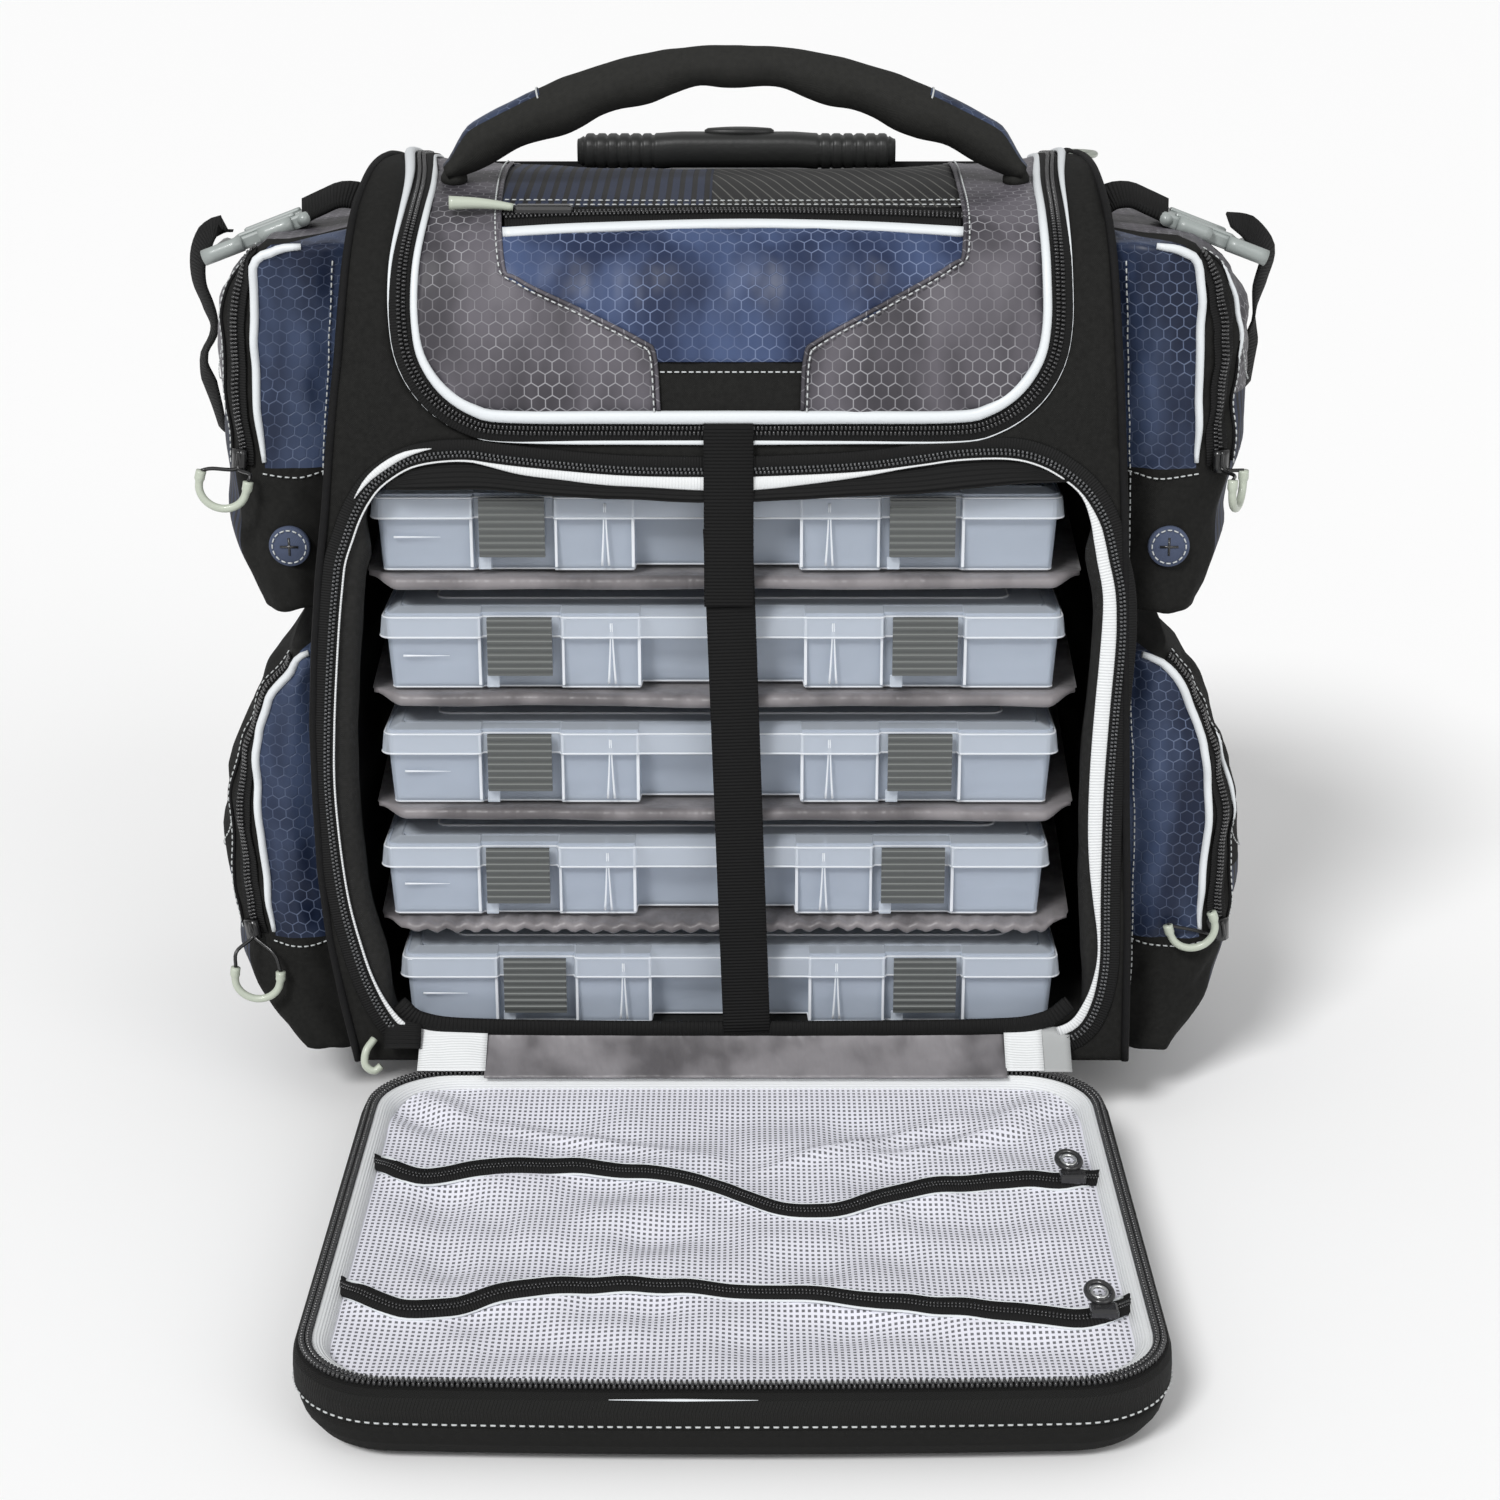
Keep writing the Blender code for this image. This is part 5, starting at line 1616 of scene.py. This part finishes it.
def door_edge(body):
    """Stitching round the door, its half of the zip, and a thin pale line along its free edge: a painted
    highlight.
    """
    side = np.array(door_loops(((-0.0004, 0.0236),))[0])
    turned = np.roll(side, -1, 0) - np.roll(side, 1, 0)
    away = unit(np.column_stack([turned[:, 1], -turned[:, 0], turned[:, 2] * 0]))
    stitches("door_stitch", np.hstack([side, away]), body, closed=True, pitch=0.0042, lift=0.0002)
    ring = door_line(0.005, 0.04)
    teeth = np.hstack([ring, np.tile((0.0, 0.0, 1.0), (len(ring), 1))])
    for k, shift in enumerate((-0.0014, 0.0014)):
        beads(f"door_teeth_{'ab'[k]}", teeth, 0.0024, (0.0015, 0.003, 0.0022), TEETH, body, True,
              0.0, shift)
    # A thin pale tube, tapering at both ends, paints a highlight along the door's free edge.
    ring = door_line(-0.0006, 0.0368)
    near = ring[(ring[:, 1] < -0.3) & (np.abs(ring[:, 0] + 0.022) < 0.034)]
    near = near[np.argsort(near[:, 0])]
    radius = np.interp(near[:, 0], (-0.056, -0.022, 0.012), (0.0001, 0.0006, 0.0001))
    tube("door_rim_painted_highlight", near, radius, PIPING, body, 6)


def net_zip(name, line, body):
    """A zip sewn across the net, between two narrow hems."""
    top = door_net(*curve(line, 0.003).T)
    path = np.hstack([top, np.tile(unit((0, -0.5, 1.0)), (len(top), 1))])
    path[:, 2] += 0.002
    width = 0.0088 + 0.0012 * np.sin(np.linspace(0, 9, len(path)))
    ribbon(f"net_zip_{name}_tape", path, width, 0.0012, TAPE, body)
    for k, off in enumerate((-0.0008, 0.0008)):
        beads(f"net_zip_{name}_teeth_{'ab'[k]}", path, 0.0017, (0.0011, 0.0014, 0.0009), TEETH,
              body, lift=0.0011, shift=off, start=k * 0.0008)
    for k, off in enumerate((-1, 1)):
        fold = path[3:-3].copy()
        fold[:, 1] += off * (width[3:-3] * 0.45 + 0.0006)
        fold[:, 2] += off * width[3:-3] * 0.22
        tube(f"net_zip_{name}_hem_{k}", resample(fold, 0.004), 0.0007, PIPING, body, 6)


def door_net(x, y):
    """Height of the mesh inside the door: slack, with folds drawn from its corners."""
    x, y = np.array(x, float), np.array(y, float)
    edge = np.minimum(0.182 - np.abs(x), np.minimum(y + 0.3235, -0.0212 - y))
    slack = ease(edge / 0.05)
    flat = np.stack([x, y], 1)
    z = 0.0335 - 0.004 * slack + ripple(flat, (0.06, 0.035, 1), 3.0) * 0.0042 * slack
    z += ripple(flat, (0.022, 0.03, 1), 8.0) * 0.0019 * slack
    for line in (ZIP_UPPER, ZIP_LOWER):
        at = np.interp(x, [p[0] for p in line], [p[1] for p in line])
        z += 0.0026 * np.exp(-((y - at) / 0.012) ** 2) * ease(edge / 0.012)
    for sx, sy in ((-0.158, -0.052), (0.158, -0.052)):
        u, v = (x - sx), (y - sy)
        bend = np.exp(-(u * u + v * v) / 0.022 ** 2)
        z += bend * 0.0042 * np.sin((u * np.sign(-sx) + v) / 0.0085)
    for a, b, c in ((0.06, -0.085, 0.55), (-0.08, -0.075, -0.35), (0.115, -0.08, 0.4)):
        off = (y - b) - c * (x - a)
        z += 0.0034 * np.exp(-(off / 0.005) ** 2) * np.exp(-((x - a) / 0.05) ** 2) * slack
    return np.column_stack([x, y, z])


def net_slider(name, line):
    """A small black slider with an oval pull standing toward the hinge."""
    x, rider = 0.168, f"door_zip_{name}"
    flat = curve(line, 0.003)
    y = float(np.interp(x, flat[:, 0], flat[:, 1]))
    z = float(door_net([x], [y])[0, 2])
    made = solid(f"net_slider_{name}", (x - 0.0065, y - 0.0045, z + 0.0012),
                 (x + 0.0065, y + 0.0045, z + 0.0062), TEETH, rider, 0.0014)
    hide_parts(f"door_slider_{name}")
    tip = np.array((x - 0.0015, y + 0.012, z + 0.0085))
    root = np.array((x - 0.0005, y + 0.001, z + 0.0065))
    mid = (tip + root) / 2
    axis = unit(tip - root)
    side = np.array((1.0, 0, 0))
    normal = unit(np.cross(axis, side))
    for k, (a, b, r, finish) in enumerate(((0.0072, 0.0058, 0.0014, TEETH),
                                           (0.004, 0.0036, 0.0009, SILVER))):
        loop = [np.concatenate([mid + axis * (0.003 + math.cos(t) * a) + side * math.sin(t) * b, normal])
                for t in turns(24)]
        tube(f"net_pull_{name}_{k}", loop, r, finish, rider, 8, closed=True)


front_door()


def hinge_strip():
    """The satin strip and zip-tape ends that join the open door to the bag."""
    def cloth(name, x0, x1, finish, near=-0.032, drop=0.0):
        xs = np.linspace(x0, x1, max(6, int((x1 - x0) / 0.003)))
        rows = []
        for t in np.linspace(0, 1, 14):
            y = 0.001 + (near - 0.001) * t
            z = 0.058 + (0.0412 - 0.058) * t ** 0.7 - drop
            base = np.column_stack([xs, xs * 0 + y, xs * 0 + z])
            wave = (ripple(base, (0.02, 0.05, 1), 4.0) * 0.0016
                    + ripple(base, (0.007, 0.03, 1), 6.0) * 0.0007) * math.sin(math.pi * t)
            base[:, 2] += wave
            rows.append(base)
        made = skin(name, rows, finish, None, thick=0.0006, flip=True)
        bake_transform(made)
        return made

    made = cloth("hinge_satin_strip", -0.134, 0.145, HINGE_SATIN, -0.0245)
    cloth("hinge_tape_left", -0.17, -0.1335, WHITE_TAPE, -0.0205, -0.0022)
    cloth("hinge_tape_right", 0.1445, 0.165, WHITE_TAPE, -0.0205, -0.0022)
    cloth("hinge_knot_left", -0.1885, -0.169, BINDING, -0.01, -0.0105)
    cloth("hinge_fold_right", 0.162, 0.18, SILVER_CLOTH, -0.02, -0.0012)


hinge_strip()


def corner_pull():
    """The pale pull of the door's zip, parked at the lower left corner of the mouth."""
    path = [(-0.1945, -0.003, 0.054), (-0.1985, -0.0075, 0.049), (-0.199, -0.01, 0.042),
            (-0.1945, -0.0105, 0.0385), (-0.1905, -0.0095, 0.041)]
    tube("door_zip_pull", curve(path, 0.0015), 0.0021, PULL, "bag", 10)


corner_pull()


# ---------------------------------------------------------------- wheels, base, harness
def wheel(side, word, short):
    """A grooved tyre turned round its axle, with pale hub faces."""
    centre = np.array((side * 0.196, 0.262, 0.038))
    half = [(-0.0085, 0.0048), (-0.0085, 0.012), (-0.007, 0.02), (-0.0092, 0.0285),
            (-0.0102, 0.031), (-0.0104, 0.035), (-0.008, 0.0378), (-0.0045, 0.038),
            (-0.004, 0.037), (-0.0015, 0.037), (-0.001, 0.038)]
    profile = half + [(-x, r) for x, r in half[::-1]] + half[:1]
    rows = [[centre + np.array((x, r * math.cos(a), r * math.sin(a))) for a in turns(64)]
            for x, r in profile]
    made = skin(f"wheel_tyre_{word}", rows, [TYRE, HUB], f"wheel_{short}", closed=True,
                slots=lambda i, _: int(i < 3 or i > 17))
    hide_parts(f"wheel_{word}")


def harness():
    """Two padded shoulder straps under a yoke, folded flat against the back."""
    top, low = 0.468, 0.202
    for side, word, _ in SIDES:
        rows = []
        for z in np.linspace(top, low, 50):
            t = (top - z) / (top - low)
            centre = side * (0.06 + 0.032 * t + 0.01 * math.sin(t * math.pi))
            half = 0.03 - 0.004 * t
            ends = float(ease((top - z) / 0.02)) * float(ease((z - low) / 0.02))
            rows.append([(centre + blunt(math.cos(a), 0.7) * half,
                          0.2945 + blunt(math.sin(a), 0.8) * 0.0075 * (0.4 + 0.6 * ends), z)
                         for a in turns(24)])
        made = skin(f"shoulder_strap_{word}", rows, BLACK, "bag", closed=True, capped=True)
        blow_up(made, lambda at: (at[:, 2] > 0.46) | (at[:, 2] < 0.21) | (at[:, 1] < 0.2885))
        if side == LEFT:
            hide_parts("shoulder_harness")
        line = [(side * 0.086, 0.3015, 0.25), (side * 0.1, 0.302, 0.215),
                (side * 0.118, 0.299, 0.17), (side * 0.15, 0.29, 0.11)]
        path = curve(line)
        path = np.hstack([path, np.tile((0, 1.0, 0), (len(path), 1))])
        ribbon(f"shoulder_webbing_{word}", path, 0.025, 0.0016, WEBBING, "bag")
    yoke = [[(x, 0.286 + 0.0075 * math.sin(math.pi * t) ** 0.5, 0.425 + 0.045 * t)
             for x in np.linspace(-0.098, 0.098, 30)] for t in np.linspace(0, 1, 14)]
    made = skin("shoulder_yoke", yoke, BLACK, "bag", flip=True, thick=0.0015)


for side, word, short in SIDES:
    wheel(side, word, short)
harness()

for node, finish in (("base_chassis", CHASSIS), ("trolley_frame", METAL),
                     ("trolley_mid_tubes", METAL), ("trolley_tubes", METAL)):
    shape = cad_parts[node]
    shape.data.materials.clear()
    shape.data.materials.append(finish)

# ---------------------------------------------------------------- floor, light, camera
floor_mesh = bpy.data.meshes.new("floor")
floor_mesh.from_pydata([(-40, -40, -0.0005), (40, -40, -0.0005), (40, 40, -0.0005), (-40, 40, -0.0005)], [],
                       [(0, 1, 2, 3)])
floor = link(bpy.data.objects.new("floor", floor_mesh))
floor.data.materials.append(plain("floor_white", (0.93, 0.93, 0.93), 1.0))

world = bpy.data.worlds.new("studio")
world.use_nodes = True
world.node_tree.nodes["Background"].inputs[0].default_value = (1.0, 1.0, 1.0, 1.0)
world.node_tree.nodes["Background"].inputs[1].default_value = 0.52
bpy.context.scene.world = world


def sun(name, tilt, turn, strength, spread):
    """A soft distant light, tilt degrees from overhead and turned about Z; 0 shines from -Y."""
    data = bpy.data.lights.new(name, "SUN")
    data.energy, data.angle = strength, math.radians(spread)
    made = link(bpy.data.objects.new(name, data))
    made.rotation_euler = (math.radians(tilt), 0.0, math.radians(turn))


sun("key", 48, -28, 2.1, 16)
sun("fill", 62, 38, 0.6, 40)

bpy.context.scene.view_settings.view_transform = "Standard"
LENS, LOOK_DOWN = 68.4, 18.5
camera_data = bpy.data.cameras.new("camera")
camera_data.lens = LENS
camera_data.sensor_width = 36.0
camera = link(bpy.data.objects.new("camera", camera_data))
camera.location = (0.0078, -1.409, 0.6884)
camera.rotation_euler = (math.radians(90 - LOOK_DOWN), 0.0, 0.0)
bpy.context.scene.camera = camera
